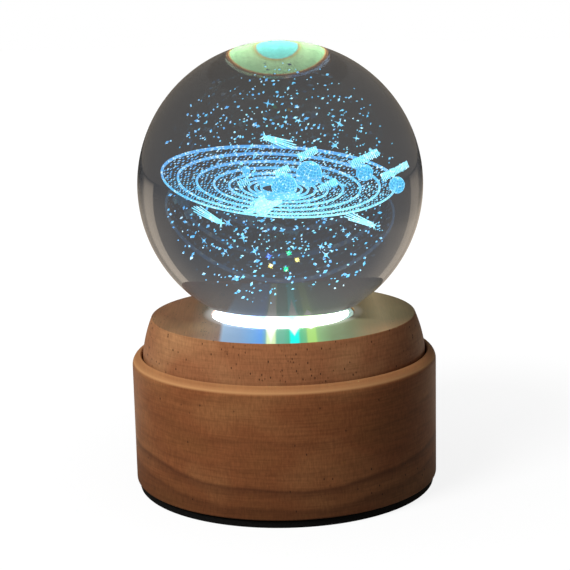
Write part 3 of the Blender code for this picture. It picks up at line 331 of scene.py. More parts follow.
@dataclass(frozen=True)
class StainedBeech(Finish):
    """Beech, turned, stained warm brown and sprayed with satin lacquer.

    The eye sees patches of redder and yellower brown, a few growth rings that the turning cuts into sweeping
    bows, fine straight grain from front to back, and the short dark flecks of the rays, 0.4 mm across and
    1 to 2 mm long. Where they are set, a lighter band along the rim is a painted highlight, and a darkening
    towards the bottom is painted shade.
    """

    pale: str = "#9e6a42"
    deep: str = "#885632"
    red: str = "#8d5533"
    ring: str = "#54301f"
    fleck: str = "#3c2418"
    # Colour of the painted highlight where light catches the drum's rim.
    painted_highlight: str = "#b9875a"
    patch: Point = (24, 40, 17)
    grain: Point = (0.4, 9, 1.6)
    layer: Point = (9, 14, 0.55)
    sway: Point = (26, 34, 60)
    fleck_cell: Point = (0.75, 2.4, 1.5)
    fleck_crowd: Point = (22, 30, 30)
    ring_heart: Point = (-3, 0, 0)
    ring_bow: float = 0.003
    ring_sway: float = 5.0
    ring_span: float = 60.0
    ring_levels: tuple = ((4.4, 0.45), (10.1, 0.75), (15.5, 0.14), (23.5, 0.2))
    ring_profile: tuple = ((-3.2, 0.0), (-1.0, 0.6), (-0.1, 0.9), (0.9, 0.0))
    fleck_share: float = 0.04
    layer_depth: float = 0.8
    # Heights and strengths of the painted highlight band; none by default.
    highlight_levels: tuple = ((0.0, 0.0), (50.0, 0.0))
    highlight_span: float = 50.0
    # Painted shade: heights over which the colour darkens towards the bottom, and its darkest share; none by
    # default.
    bottom_shade: tuple = (-2.0, -1.0)
    bottom_shade_tone: float = 0.62

    def rings(self, add: Adder) -> Node:
        """How dark a growth ring is: at uneven levels, each dark on its lower edge and soft above."""
        parts = add("SeparateXYZ", [millimetres(add, centre=self.ring_heart)]).outputs
        sway = add("TexNoise", {"Vector": millimetres(add, self.sway), "Scale": 1.0, "Detail": 2.0})
        square = add("Math", (parts["X"], parts["X"]), "MULTIPLY")
        bowed = add("Math", (square, -self.ring_bow, parts["Z"]), "MULTIPLY_ADD")
        swayed = add("Math", (sway, self.ring_sway, bowed), "MULTIPLY_ADD")
        middle = 0.5 - self.ring_sway / 2 / self.ring_span
        share = add("Math", (swayed, 1 / self.ring_span, middle), "MULTIPLY_ADD")
        return add("ValToRGB", [share], stops=[
            (0.5 + (level + shift) / self.ring_span, depth * part)
            for level, depth in self.ring_levels for shift, part in self.ring_profile])

    def flecks(self, add: Adder) -> Node:
        """Short dark dashes along the grain, in some of the cells of a loose lattice."""
        cells = add("TexVoronoi", {"Vector": millimetres(add, self.fleck_cell), "Scale": 1.0}).outputs
        cloud = add("TexNoise", {"Vector": millimetres(add, self.fleck_crowd), "Scale": 1.0})
        crowd = add("MapRange", (cloud, 0.35, 0.65, 0.0, self.fleck_share))
        pick = add("SeparateColor", [cells["Color"]])
        kept = add("Math", (pick, crowd), "LESS_THAN")
        dash = add("MapRange", (cells["Distance"], 0.27, 0.12))
        return add("Math", (dash, kept), "MULTIPLY")

    def surface(self, add: Adder, wood: Node) -> dict:
        """What the shader shows of the finished wood, by the shader's inputs."""
        return {"Base Color": wood}

    def shade(self, add: Adder) -> Node:
        """Patches, growth rings, grain and flecks, each in its own size, under a coat of lacquer."""
        patch = add("TexNoise", {"Vector": millimetres(add, self.patch), "Scale": 1.0, "Detail": 2.0})
        base = add("ValToRGB", [patch], stops=((0.25, self.deep), (0.48, self.red), (0.75, self.pale)))
        ringed = add("MixRGB", (self.rings(add), base, self.ring))
        grain = add("TexNoise", {"Vector": millimetres(add, self.grain), "Scale": 1.0, "Detail": 4.0})
        tone = add("ValToRGB", [grain], stops=((0.3, 0.74), (0.7, 1.0)))
        layers = add("TexNoise", {
            "Vector": millimetres(add, self.layer), "Scale": 1.0, "Detail": 3.0, "Distortion": 0.3})
        layered = add("ValToRGB", [layers], stops=((0.3, self.layer_depth), (0.6, 1.0)))
        crossed = add("MixRGB", (1.0, tone, layered), "MULTIPLY")
        grained = add("MixRGB", (1.0, ringed, crossed), "MULTIPLY")
        flecked = add("MixRGB", (self.flecks(add), grained, self.fleck))
        height = add("SeparateXYZ", [millimetres(add)]).outputs["Z"]
        # Painted highlight: a lighter band at set heights, where light catches the rim.
        share = add("Math", (height, 1 / self.highlight_span), "MULTIPLY")
        bands = add("ValToRGB", [share], stops=[(level / self.highlight_span, depth) for level, depth in self.highlight_levels])
        painted_highlight = add("MixRGB", (bands, flecked, self.painted_highlight))
        # Painted shade: the colour darkens towards the bottom.
        shaded_bottom = add("MapRange", (height, *self.bottom_shade, self.bottom_shade_tone, 1.0), "SMOOTHSTEP")
        wood_with_painted_light = add("MixRGB", (1.0, painted_highlight, shaded_bottom), "MULTIPLY")
        relief = add("Bump", {"Height": grain, "Strength": 0.12, "Distance": 0.1 * MM})
        return add("BsdfPrincipled", {
            **self.surface(add, wood_with_painted_light), "Roughness": 0.55, "Specular IOR Level": 0.12, "Coat Weight": 0.05,
            "Coat Roughness": 0.4, "Normal": relief})


@dataclass(frozen=True)
class LitBeech(StainedBeech):
    """The stage's beech, whose lacquered top carries painted light: the light that spills from the foot.

    Blue falls on the left and pale green on the right, and a dim grey-beige painted sheen of the lacquer lies
    beyond them on either side. In front, a white, a green and a lime streak run out from the three diodes
    that stand there, burnt out at the foot and coloured at the stage's edge.
    """

    top: float = 49.0
    foot_radius: float = 20.4
    edge_radius: float = 37.5
    # Painted light along X: the diodes' spilt light in the middle, a dim painted sheen of the lacquer at
    # either side.
    spill_and_sheen: tuple = (
        (-38.0, "#28261e"), (-26.0, "#2c2c26"), (-22.0, "#444c48"), (-17.4, "#48565c"), (-16.4, "#94b0cc"),
        (-12.0, "#88a8cc"), (-8.5, "#74a8dc"), (-6.0, "#64a2ec"), (-4.8, "#78b0c0"), (-3.4, "#8fc090"),
        (-1.8, "#70b898"), (0.0, "#6eb498"), (1.5, "#50b890"), (3.0, "#30c898"), (4.5, "#5cc090"),
        (6.0, "#74be84"), (7.9, "#98cc78"), (10.0, "#88ae78"), (13.0, "#7c9069"), (17.0, "#7a8463"),
        (22.6, "#787054"), (28.0, "#706850"), (31.0, "#5c5842"), (38.0, "#3c3828"))
    left_edge: tuple = (-17.4, -16.2)
    right_edge: tuple = (27.0, 18.0)
    front_fade: tuple = (-7.0, -13.0, 0.1, 1.0)
    foot_glow: tuple = (2.6, 0.35)
    streaks: tuple = (
        (-3.4, 1.6, "#e0f8be", 1.15), (2.9, 1.6, "#00fcee", 0.6), (7.5, 1.6, "#acdc78", 0.2))
    core: str = "#fcfff4"
    # Painted shade: the stage's top face is darker than its side, for how the light falls on it.
    top_shade: str = "#d0d0d0"
    under_light: str = "#181410"

    def streak(self, add: Adder, light: Node, across: Socket, reach: Node, row: tuple) -> Node:
        """Lays one diode's streak over the spilt light, with a burnt-out core that tapers outwards.

        Args:
            add: Adds a node to the tree.
            light: The light that lies there already.
            across: Distance to the right of the axis.
            reach: Share of the way from the foot to the stage's edge.
            row: The streak's place, half width, colour and the reach of its core.

        Returns:
            The light with the streak in it.
        """
        place, half_width, colour, core_reach = row
        off = add("Math", (across, place), "SUBTRACT")
        apart = add("Math", [off], "ABSOLUTE")
        body = add("MapRange", (apart, half_width, half_width * 0.55), "SMOOTHSTEP")
        tinted = add("MixRGB", (body, light, colour))
        narrow = add("Math", (apart, 1 / (1.1 * half_width)), "MULTIPLY")
        taper = add("Math", (reach, 1 / core_reach, narrow), "MULTIPLY_ADD")
        white = add("MapRange", (taper, 1.05, 0.6), "SMOOTHSTEP")
        return add("MixRGB", (white, tinted, self.core))

    def surface(self, add: Adder, wood: Node) -> dict:
        """Adds the painted spilt light and painted sheen to the wood as emission, on the top face alone."""
        parts = add("SeparateXYZ", [millimetres(add)]).outputs
        away = add("VectorMath", [millimetres(add, (1, 1, ENDLESS))], "LENGTH").outputs["Value"]
        reach = add("MapRange", (away, self.foot_radius, self.edge_radius))
        share = add("MapRange", (parts["X"], self.spill_and_sheen[0][0], self.spill_and_sheen[-1][0]))
        light = add("ValToRGB", [share], stops=along(self.spill_and_sheen))
        for row in self.streaks:
            light = self.streak(add, light, parts["X"], reach, row)
        width, strength = self.foot_glow
        close = add("MapRange", (away, self.foot_radius, self.foot_radius + width, strength, 0.0))
        light = add("MixRGB", (1.0, light, close), "ADD")
        front = add("MapRange", (parts["Y"], *self.front_fade), "SMOOTHSTEP")
        raised = add("Math", (parts["Z"], self.top), "GREATER_THAN")
        left = add("MapRange", (parts["X"], *self.left_edge))
        right = add("MapRange", (parts["X"], *self.right_edge))
        inside = add("Math", (left, right), "MULTIPLY")
        beside = add("Math", (1.0, inside), "SUBTRACT")
        round_about = add("Math", (front, beside), "MAXIMUM")
        shown = add("Math", (round_about, raised), "MULTIPLY")
        spilt = add("MixRGB", (1.0, light, shown), "MULTIPLY")
        burnt = add("Math", (inside, shown), "MULTIPLY")
        # Painted shade: the top face is darkened.
        shaded_top = add("MixRGB", (raised, wood, self.top_shade), "MULTIPLY")
        base = add("MixRGB", (burnt, shaded_top, self.under_light))
        return {"Base Color": base, "Emission Color": spilt, "Emission Strength": 1.0}


@dataclass(frozen=True)
class FoamRubber(Finish):
    """Black cellular rubber, cut from sheet: dead matt, with open cells of about 0.3 mm."""

    cell: float = 0.3

    def shade(self, add: Adder) -> Node:
        """Small round cells as tone and bump."""
        cells = add("TexVoronoi", {"Vector": millimetres(add, (self.cell,) * 3), "Scale": 1.0})
        tone = add("ValToRGB", [cells], stops=((0.1, "#060606"), (0.7, "#161616")))
        relief = add("Bump", {"Height": cells, "Strength": 0.5, "Distance": 0.1 * MM})
        return add("BsdfPrincipled", {
            "Base Color": tone, "Roughness": 0.95, "Specular IOR Level": 0.2, "Normal": relief})


@dataclass(frozen=True)
class MouldedPlastic(Finish):
    """Injection-moulded plastic. Its fine grain is the spark texture of the mould, about 0.15 mm."""

    colour: str = "#2b2b2b"
    roughness: float = 0.5
    grain: float = 0.15
    cloud: float = 8.0

    def shade(self, add: Adder) -> Node:
        """Fine grain as bump and a slight unevenness of tone."""
        spark = add("TexNoise", {"Vector": millimetres(add, (self.grain,) * 3), "Scale": 1.0, "Detail": 2.0})
        cloud = add("TexNoise", {"Vector": millimetres(add, (self.cloud,) * 3), "Scale": 1.0})
        tone = add("ValToRGB", [cloud], stops=((0.3, 0.88), (0.7, 1.0)))
        colour = add("MixRGB", (1.0, self.colour, tone), "MULTIPLY")
        relief = add("Bump", {"Height": spark, "Strength": 0.25, "Distance": 0.03 * MM})
        return add("BsdfPrincipled", {"Base Color": colour, "Roughness": self.roughness, "Normal": relief})


@dataclass(frozen=True)
class Metal(Finish):
    """Bare or plated metal, with the fine lines that drawing, turning or casting leaves."""

    colour: str = "#b9bbbf"
    roughness: float = 0.3
    line: Point = (0.12, 0.12, 6.0)

    def shade(self, add: Adder) -> Node:
        """Lines in the roughness and as bump."""
        lines = add("TexNoise", {"Vector": millimetres(add, self.line), "Scale": 1.0, "Detail": 3.0})
        matt = add("MapRange", (lines, 0.3, 0.7, self.roughness * 0.7, self.roughness * 1.3))
        relief = add("Bump", {"Height": lines, "Strength": 0.15, "Distance": 0.02 * MM})
        return add("BsdfPrincipled", {
            "Base Color": self.colour, "Metallic": 1.0, "Roughness": matt, "Normal": relief})


@dataclass(frozen=True)
class SolderMask(Finish):
    """Green solder mask printed on glass laminate: glossy, with the woven cloth just showing through."""

    thread: float = 0.5
    track: Point = (6, 6, 3)

    def shade(self, add: Adder) -> Node:
        """A woven tone of 0.5 mm under the mask, with paler tracks."""
        weave = add("TexChecker", {
            "Vector": millimetres(add, (self.thread,) * 3), "Scale": 1.0, "Color1": "#0f5a2c",
            "Color2": "#125f31"})
        tracks = add("TexBrick", {
            "Vector": millimetres(add, self.track), "Scale": 1.0, "Mortar Size": 0.03, "Color1": "#0d5529",
            "Color2": "#0f5a2c", "Mortar": "#2f8a50"})
        colour = add("MixRGB", (0.6, weave, tracks))
        return add("BsdfPrincipled", {"Base Color": colour, "Roughness": 0.25, "Coat Weight": 0.4})


@dataclass(frozen=True)
class DiodeLens(Finish):
    """Clear resin cast over a glowing chip: brightest at its middle."""

    colour: str = "#ffffff"
    centre: Point = (0, 0, 46)
    glow: float = 4.0
    fall: tuple = (0.4, 2.4, 1.0, 0.35)

    def shade(self, add: Adder) -> Node:
        """Light that falls off from the chip outwards."""
        place = millimetres(add, centre=self.centre)
        away = add("VectorMath", [place], "LENGTH").outputs["Value"]
        fall = add("MapRange", (away, *self.fall))
        light = add("MixRGB", (1.0, self.colour, fall), "MULTIPLY")
        return add("BsdfPrincipled", {
            "Base Color": self.colour, "Roughness": 0.2, "Emission Color": light,
            "Emission Strength": self.glow})


@dataclass(frozen=True)
class WhiteTable(Finish):
    """A matt white table with a soft shadow, partly real and partly painted, that is clear from below.

    What the glass mirrors of it is beige and dim in front, with a bright strip that runs away behind on each
    side, so that a pale crescent with a sharp inner edge stands along either side of the ball. The right
    strip stands a little further round and is weaker.
    """

    mirrored: tuple = (
        (-900.0, 0.14), (-600.0, 0.28), (-380.0, 0.4), (-205.0, 0.52), (-110.0, 0.48), (60.0, 0.5),
        (96.0, 0.6), (126.0, 0.68), (184.0, 0.7), (225.0, 0.48), (284.0, 0.34), (900.0, 0.28))
    behind: tuple = (-20.0, 34.0, 0.26, 0.6)
    far: tuple = (300.0, 900.0, 1.0, 0.1)
    strips: tuple = (
        (0.0, 0.0), (0.308, 0.0), (0.326, 1.0), (0.42, 0.85), (0.5, 0.58), (0.55, 0.1), (0.6, 0.0),
        (1.0, 0.0))
    sides: tuple = (-50.0, 50.0)
    strip_lag: tuple = (0.0, 0.03 * math.pi)
    strip_power: tuple = (1.2, 0.62)
    strip_reach: tuple = (1100.0, 2400.0, 1.0, 0.0)
    mirror_level: float = 1.75
    # Painted shadow: the white that is seen dims from this level near the object to full white further out.
    shadow: tuple = (50.0, 260.0, 0.88, 1.0)

    def mirror(self, add: Adder, parts: Any, away: Socket) -> Node:
        """The table as the glass mirrors it.

        Args:
            add: Adds a node to the tree.
            parts: X, Y and Z of a place on the table.
            away: Its distance from the axis.

        Returns:
            The shader.
        """
        share = add("MapRange", (parts["X"], self.mirrored[0][0], self.mirrored[-1][0]))
        level = add("ValToRGB", [share], stops=along(self.mirrored))
        behind = add("MapRange", (parts["Y"], *self.behind), "SMOOTHSTEP")
        back = add("Math", (behind, add("MapRange", (parts["Y"], *self.far))), "MULTIPLY")
        placed = add("Math", (level, back), "MULTIPLY")
        aside = add("Math", [parts["X"]], "ABSOLUTE")
        turn = add("Math", (parts["Y"], aside), "ARCTAN2")
        lag = add("MapRange", (parts["X"], *self.sides, *self.strip_lag))
        late = add("Math", (turn, lag), "SUBTRACT")
        quarter = add("MapRange", (late, 0.0, math.pi / 2))
        strip = add("ValToRGB", [quarter], stops=self.strips)
        power = add("MapRange", (parts["X"], *self.sides, *self.strip_power))
        reach = add("MapRange", (away, *self.strip_reach))
        shone = add("Math", (power, reach), "MULTIPLY")
        added = add("Math", (strip, shone), "MULTIPLY")
        strength = add("Math", (placed, self.mirror_level, added), "MULTIPLY_ADD")
        return add("Emission", (ROOM_TONE, strength))

    def shade(self, add: Adder) -> Node:
        """White where it is seen, grey where it lights the object, and the mirrored look in the glass."""
        shows, mirrored = ray_uses(add, add("LightPath").outputs)
        place = millimetres(add)
        away = add("VectorMath", [place], "LENGTH").outputs["Value"]
        mirror = self.mirror(add, add("SeparateXYZ", [place]).outputs, away)
        glow = add("Emission", ("#ffffff", add("MapRange", (away, *self.shadow))))
        pale = add("AddShader", (glow, add("BsdfDiffuse", [(0.12, 0.12, 0.12, 1)])))
        matt = add("BsdfDiffuse", [(0.25, 0.25, 0.25, 1)])
        seen = add("MixShader", (shows, matt, pale))
        mixed = add("MixShader", (mirrored, seen, mirror))
        below = add("NewGeometry").outputs["Backfacing"]
        return add("MixShader", (below, mixed, add("BsdfTransparent")))


def spun(profile: Iterable[tuple[float, float]]) -> Shape:
    """A closed shape turned about the Z axis.

    Args:
        profile: Radius and height of each corner, as a closed loop round the wall.

    Returns:
        The turned mesh.
    """
    bm = bmesh.new()
    points = [bm.verts.new((radius, 0.0, height)) for radius, height in profile]
    edges = [bm.edges.new((points[at - 1], point)) for at, point in enumerate(points)]
    bmesh.ops.spin(bm, geom=points + edges, cent=(0, 0, 0), axis=(0, 0, 1), angle=math.tau, steps=TURN_STEPS,
                   use_merge=True)
    bmesh.ops.remove_doubles(bm, verts=bm.verts, dist=0.001)
    bmesh.ops.recalc_face_normals(bm, faces=bm.faces)
    return bm


def round_rings(bm: Shape, rings: Sequence[tuple[float, float, float]]) -> None:
    """Rounds whole rings of a turned mesh's edges.

    Args:
        bm: The mesh.
        rings: Radius, height and the size of the rounding of each ring.
    """
    for radius, height, size in rings:
        edges = [e for e in bm.edges if all(
            abs(v.co.z - height) < NEAR and abs(math.hypot(v.co.x, v.co.y) - radius) < NEAR for v in e.verts)]
        bmesh.ops.bevel(bm, geom=edges, offset=size, affect="EDGES", segments=3, profile=0.5, material=-1)


def disc(radius: float, bottom: float, top: float, edge: float) -> Shape:
    """A flat round between two heights, with both edges rounded by the size of the edge."""
    bm = bmesh.new()
    depth = top - bottom
    bmesh.ops.create_cone(bm, cap_ends=True, segments=144, radius1=radius, radius2=radius, depth=depth,
                          matrix=Matrix.Translation((0, 0, bottom + depth / 2)))
    round_rings(bm, [(radius, top, edge), (radius, bottom, edge)])
    return bm


def to_mesh(name: str, bm: Shape) -> bpy.types.Mesh:
    """Finishes a mesh and frees what it was built in."""
    mesh = bpy.data.meshes.new(name)
    bm.to_mesh(mesh)
    bm.free()
    return mesh


def put(name: str, data: bpy.types.ID) -> bpy.types.Object:
    """Adds an object that shows a mesh, a light or a camera to the scene."""
    thing = bpy.data.objects.new(name, data)
    bpy.context.scene.collection.objects.link(thing)
    return thing


def to_piece(name: str, bm: Shape, materials: Sequence[bpy.types.Material], body: Body,
             nodes: Sequence[str] = (), sharp: float = 32.0) -> bpy.types.Object:
    """Turns a mesh in millimetres into a finished piece that rides on a body.

    Args:
        name: The piece's name.
        bm: Its mesh, in its place in the frame. It is freed.
        materials: One material for each index that its faces use.
        body: The body that it rides on.
        nodes: The CAD nodes that it stands for.
        sharp: Edges that turn more than this many degrees stay sharp.

    Returns:
        The piece.
    """
    bm.transform(Matrix.Scale(MM, 4))
    mesh = to_mesh(name, bm)
    mesh.shade_smooth()
    mesh.set_sharp_from_angle(angle=math.radians(sharp))
    for material in materials:
        mesh.materials.append(material)
    piece = put(name, mesh)
    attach(piece, body.value)
    if nodes:
        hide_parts(*nodes)
    log.info("%s: %d faces, rides on %s", name, len(mesh.polygons), body.value)
    return piece


@dataclass
class CrystalBall:
    """The solid glass ball with its ground foot."""

    radius: float = 40.0
    centre: float = 85.79
    flat_level: float = 49.0
    bevel: float = 0.35
    segments: int = 224
    rings: int = 128

    def build(self) -> None:
        """Cuts a sphere flat, bevels the cut and gives each part its own glass."""
        ground, edge = 1, 2
        bm = bmesh.new()
        bmesh.ops.create_uvsphere(bm, u_segments=self.segments, v_segments=self.rings, radius=self.radius)
        bmesh.ops.translate(bm, verts=bm.verts, vec=(0, 0, self.centre))
        bmesh.ops.bisect_plane(bm, geom=[*bm.verts, *bm.edges, *bm.faces], plane_co=(0, 0, self.flat_level),
                               plane_no=(0, 0, 1), clear_inner=True)
        rim = [e for e in bm.edges if e.is_boundary]
        for face in bmesh.ops.contextual_create(bm, geom=rim)["faces"]:
            face.material_index = ground
        bevelled = bmesh.ops.bevel(bm, geom=rim, offset=self.bevel, affect="EDGES", segments=2, profile=0.5,
                                   material=edge)
        for face in bevelled["faces"]:
            face.material_index = edge
        bmesh.ops.recalc_face_normals(bm, faces=bm.faces)
        finishes = (PolishedGlass("optical_glass_polished"), GroundGlass("optical_glass_ground"),
                    GroundBevel("optical_glass_ground_bevel"))
        materials = [finish.build() for finish in finishes]
        to_piece("crystal_ball_glass", bm, materials, Body.BALL, ["crystal_ball"])


def placed(place: Sequence[float], about_y: float = 0.0, about_x: float = 0.0) -> Matrix:
    """A matrix that turns a shape about X, then about Y, and carries it to its place."""
    return Matrix.Translation(place) @ Matrix.Rotation(about_y, 4, "Y") @ Matrix.Rotation(about_x, 4, "X")


def between(start: Vector, end: Vector, width: float) -> Matrix:
    """A matrix that stretches a mark into a thin streak from one point to another."""
    run = end - start
    turn = Vector((0, 0, 1)).rotation_difference(run).to_matrix().to_4x4()
    shape = Matrix.Diagonal((width / 2, width / 2, run.length / 2, 1))
    return Matrix.Translation((start + end) / 2) @ turn @ shape


def stamp(template: Shape, places: Iterable[Matrix], bm: Shape | None = None) -> Shape:
    """Adds one copy of a small shape at each place.

    Args:
        template: The shape, about its own centre. It is freed.
        places: A matrix for each copy.
        bm: The mesh that takes the copies, or none for a new one.

    Returns:
        The mesh with the copies.
    """
    bm = bmesh.new() if bm is None else bm
    shape = to_mesh("template", template)
    for place in places:
        copy = shape.copy()
        copy.transform(place)
        bm.from_mesh(copy)
        bpy.data.meshes.remove(copy)
    bpy.data.meshes.remove(shape)
    return bm


def crumb() -> Shape:
    """A mark of eight facets, one millimetre in radius."""
    bm = bmesh.new()
    bmesh.ops.create_uvsphere(bm, u_segments=4, v_segments=2, radius=1.0)
    return bm


def tapered() -> Shape:
    """A slightly tapering stroke of six sides, two millimetres long."""
    bm = bmesh.new()
    bmesh.ops.create_cone(bm, cap_ends=True, segments=6, radius1=0.7, radius2=1.0, depth=2.0)
    return bm


@dataclass
class OrbitPicture:
    """The picture that a laser has marked inside the ball: orbits, planets, comets and stars, and a few
    painted glints of the diodes' light.

    Places are measured from the ball's centre. Plain hatched bars stand beside the planets.
    """

    heart: Point = (0.0, 0.0, 85.79)
    plane_centre: Point = (-0.35, 0.2, -0.84)
    tilt: Point = (0.072, -0.166, 1.0)
    orbits: tuple = (21.6, 18.6, 15.1, 11.9, 9.1, 6.9, 5.5, 4.3, 3.2)
    wide_orbits: int = 6
    orbit_line: float = 0.48
    orbit_steps: int = 144
    dash_pitch: tuple = (0.66, 1.3)
    dash_slant: float = -0.6
    dash_gap: float = 0.4
    dash: Point = (0.25, 0.1, 0.11)
    planets: tuple = (
        ((0.68, 2.1, -0.57), 2.28), ((4.88, 9.6, 0.37), 2.18), ((13.78, 11.62, 0.06), 1.34),
        ((20.65, 5.95, -1.37), 1.48), ((-5.67, 10.1, 1.21), 0.7), ((9.45, 5.31, -0.67), 0.75))
    planet_lean: tuple = (0.4, 0.3)
    planet_fill: float = 0.9
    fill_dot: tuple = (0.14, 0.2)
    belt_line: float = 0.07
    belts_per_mm: float = 5.5
    ringed_planet: tuple = ((-3.68, -13.33, -2.82), 1.7)
    planet_rings: tuple = (2.05, 2.4, 2.75, 3.1, 3.45, 3.8, 4.1)
    ring_line: float = 0.26
    ring_steps: int = 48
    ring_lean: tuple = (-0.28, 0.05)
    comets: tuple = (
        ((-11.82, -6.0, -6.54), (-18.63, -6.0, -2.5)), ((18.6, -6.0, -7.95), (11.8, -6.0, -5.1)),
        ((-2.54, 4.0, 8.12), (3.52, 4.0, 5.97)))
    comet_heads: tuple = ((0.0, 1.2), (0.0, 1.0), (0.5, 0.8))
    tails: tuple = (-1.0, -0.5, 0.0, 0.5, 1.0)
    tail_spread: float = 0.75
    tail_line: float = 0.3
    bars: tuple = (
        ((4.98, 6.0, 4.55), 4.1), ((14.5, 8.5, 2.98), 6.0), ((21.24, 4.0, 1.52), 7.3),
        ((0.41, -1.5, 2.74), 3.45), ((8.59, 3.0, -0.7), 4.05), ((-4.49, -8.0, -2.31), 3.9),
        ((-6.4, 5.0, -0.22), 2.5))
    bar_slant: float = -0.42
    bar_fill: float = 0.88
    stroke: Point = (0.15, 0.14, 0.72)
    stroke_pitch: float = 0.34
    bursts: tuple = (
        (-1.3, 9.6), (10.4, 7.0), (-14.4, -10.2), (-10.1, -12.1), (-7.2, -9.6), (-4.9, -12.2), (7.2, -11.6),
        (8.3, -13.3), (11.4, -8.7), (-9.4, -7.1), (12.0, 12.5), (-2.0, 15.5), (15.0, 9.0), (4.0, 13.0))
    glints: tuple = (
        ("blue", "#4470ff", ((-2.4, 0, -13.2),)), ("yellow", "#f4dc58", ((-2.1, 0, -15.0), (2.8, 0, -14.0))),
        ("green", "#18e890", ((0.7, 0, -15.7), (1.3, 0, -12.7))))
    glint_burst: float = 0.75
    glint_core: float = 0.46
    burst_core: float = 0.34
    burst_line: float = 0.26
    star_count: int = 980
    star_size: tuple = (0.11, 0.16, 2.4)
    cloud_radius: float = 22.5
    plane_gap: float = 2.2
    seed: int = 12

    def build(self) -> None:
        """Builds each group of marks as a piece of its own, in its own brightness."""
        self.draw = random.Random(self.seed)
        groups = [
            (LaserMark("laser_cracks_in_glass"), {
                "orbit_rings": self.orbit_rings, "orbit_dashes": self.orbit_dashes, "stars": self.stars}),
            (LaserMark("laser_cracks_faint", 3.6, "#50b4e8", "#50bcf0", "#70dcf8", "#78d4f4"), {
                "planets": self.planet_dots}),
            (LaserMark("laser_cracks_fine", 6.5, "#58b4ec", "#60c4f0", "#80e0f4"), {
                "planet_lines": self.planet_lines}),
            (LaserMark("laser_cracks_doubled", 6.5, "#74ccf0", "#80d8f4", "#a8f0fc"), {
                "ringed_planet": self.planet_with_rings, "hatched_bars": self.hatched_bars,
                "comets": self.comet_trails})]
        # Painted glints: coloured spots of the diodes' light, made with the marks' glowing finish.
        for name, colour, places in self.glints:
            groups.append((LaserMark(f"diode_glints_painted_{name}", 6.5, colour, colour, colour), {
                f"{name}_glints": partial(self.painted_glints, places)}))
        for mark, pieces in groups:
            material = mark.build()
            for name, make in pieces.items():
                bm = make()
                bmesh.ops.translate(bm, verts=bm.verts, vec=self.heart)
                to_piece(name, bm, [material], Body.BALL, sharp=180.0)

    def plane(self) -> Matrix:
        """The orbits' tilted plane, as a matrix that carries flat shapes into it."""
        turn = Vector((0, 0, 1)).rotation_difference(Vector(self.tilt).normalized())
        return Matrix.Translation(self.plane_centre) @ turn.to_matrix().to_4x4()

    def wires(self, radii: Sequence[float], line: float, steps: int) -> Shape:
        """Thin closed rings about the Z axis.

        Args:
            radii: Radius of each ring.
            line: Thickness of the line.
            steps: Facets round each ring.

        Returns:
            The rings.
        """
        bm = bmesh.new()
        for radius in radii:
            bmesh.ops.create_circle(bm, cap_ends=False, segments=5, radius=line / 2,
                                    matrix=placed((radius, 0, 0), 0.0, math.pi / 2))
        bmesh.ops.spin(bm, geom=[*bm.verts, *bm.edges], cent=(0, 0, 0), axis=(0, 0, 1), angle=math.tau,
                       steps=steps, use_merge=True)
        bmesh.ops.recalc_face_normals(bm, faces=bm.faces)
        return bm

    def orbit_rings(self) -> Shape:
        """One ring for each orbit."""
        bm = self.wires(self.orbits, self.orbit_line, self.orbit_steps)
        bm.transform(self.plane())
        return bm

    def orbit_dashes(self) -> Shape:
        """Short dashes that rise to the right, scattered over the plane between the wide orbits."""
        plane, places = self.plane(), []
        wide, deep = self.dash_pitch
        length, depth, height = self.dash
        orbits = self.orbits[: self.wide_orbits]
        rows, columns = round(orbits[0] / deep), round(orbits[0] / wide)
        for row in range(-rows, rows + 1):
            for column in range(-columns, columns + 1):
                across = column + 0.5 * (row % 2) + self.draw.uniform(-0.25, 0.25)
                spot = Vector((across * wide, (row + self.draw.uniform(-0.3, 0.3)) * deep, 0.0))
                gap = min(abs(spot.length - orbit) for orbit in orbits)
                if gap < self.dash_gap or not orbits[-1] < spot.length < orbits[0]:
                    continue
                size = self.draw.uniform(0.75, 1.25)
                shape = Matrix.Diagonal((length * size, depth, height * size, 1))
                places.append(plane @ placed(spot, self.dash_slant) @ shape)
        return stamp(crumb(), places)

    def globe(self, place: Point, radius: float, dot: float = 0.12, spacing: float = 0.21) -> list[Matrix]:
        """Places for dots on rings of latitude over a small globe.

        Args:
            place: The globe's centre.
            radius: Its radius.
            dot: Radius of a dot.
            spacing: Distance between dots.

        Returns:
            A matrix for each dot.
        """
        places = []
        lean = placed(place, *self.planet_lean)
        rings = max(4, round(math.pi * radius / spacing))
        for ring in range(rings + 1):
            polar = math.pi * ring / rings
            out = math.sin(polar)
            count = max(1, round(math.tau * radius * out / spacing))
            for number in range(count):
                angle = math.tau * (number + self.draw.uniform(0, 0.5)) / count
                spot = Vector((out * math.cos(angle), out * math.sin(angle), math.cos(polar))) * radius
                size = dot * self.draw.uniform(0.6, 1.4)
                places.append(lean @ Matrix.Translation(spot) @ Matrix.Scale(size, 4))
        return places

    def planet_dots(self) -> Shape:
        """Globes filled with close-set dots."""
        return stamp(crumb(), [spot for place, radius in self.planets
                               for spot in self.globe(place, radius * self.planet_fill, *self.fill_dot)])

    def planet_lines(self) -> Shape:
        """Fine belts and meridians over each globe."""
        bm = bmesh.new()
        for place, radius in self.planets:
            shell = bmesh.new()
            belts = max(8, round(radius * self.belts_per_mm))
            bmesh.ops.create_uvsphere(shell, u_segments=belts + belts // 2, v_segments=belts, radius=radius)
            bmesh.ops.wireframe(shell, faces=shell.faces, thickness=self.belt_line, use_replace=True,
                                use_even_offset=True)
            stamp(shell, [placed(place, *self.planet_lean)], bm)
        return bm

    def planet_with_rings(self) -> Shape:
        """The small globe in front, in a set of flat rings."""
        place, radius = self.ringed_planet
        rings = self.wires(self.planet_rings, self.ring_line, self.ring_steps)
        rings.transform(placed(place, *self.ring_lean))
        return stamp(crumb(), self.globe(place, radius), rings)

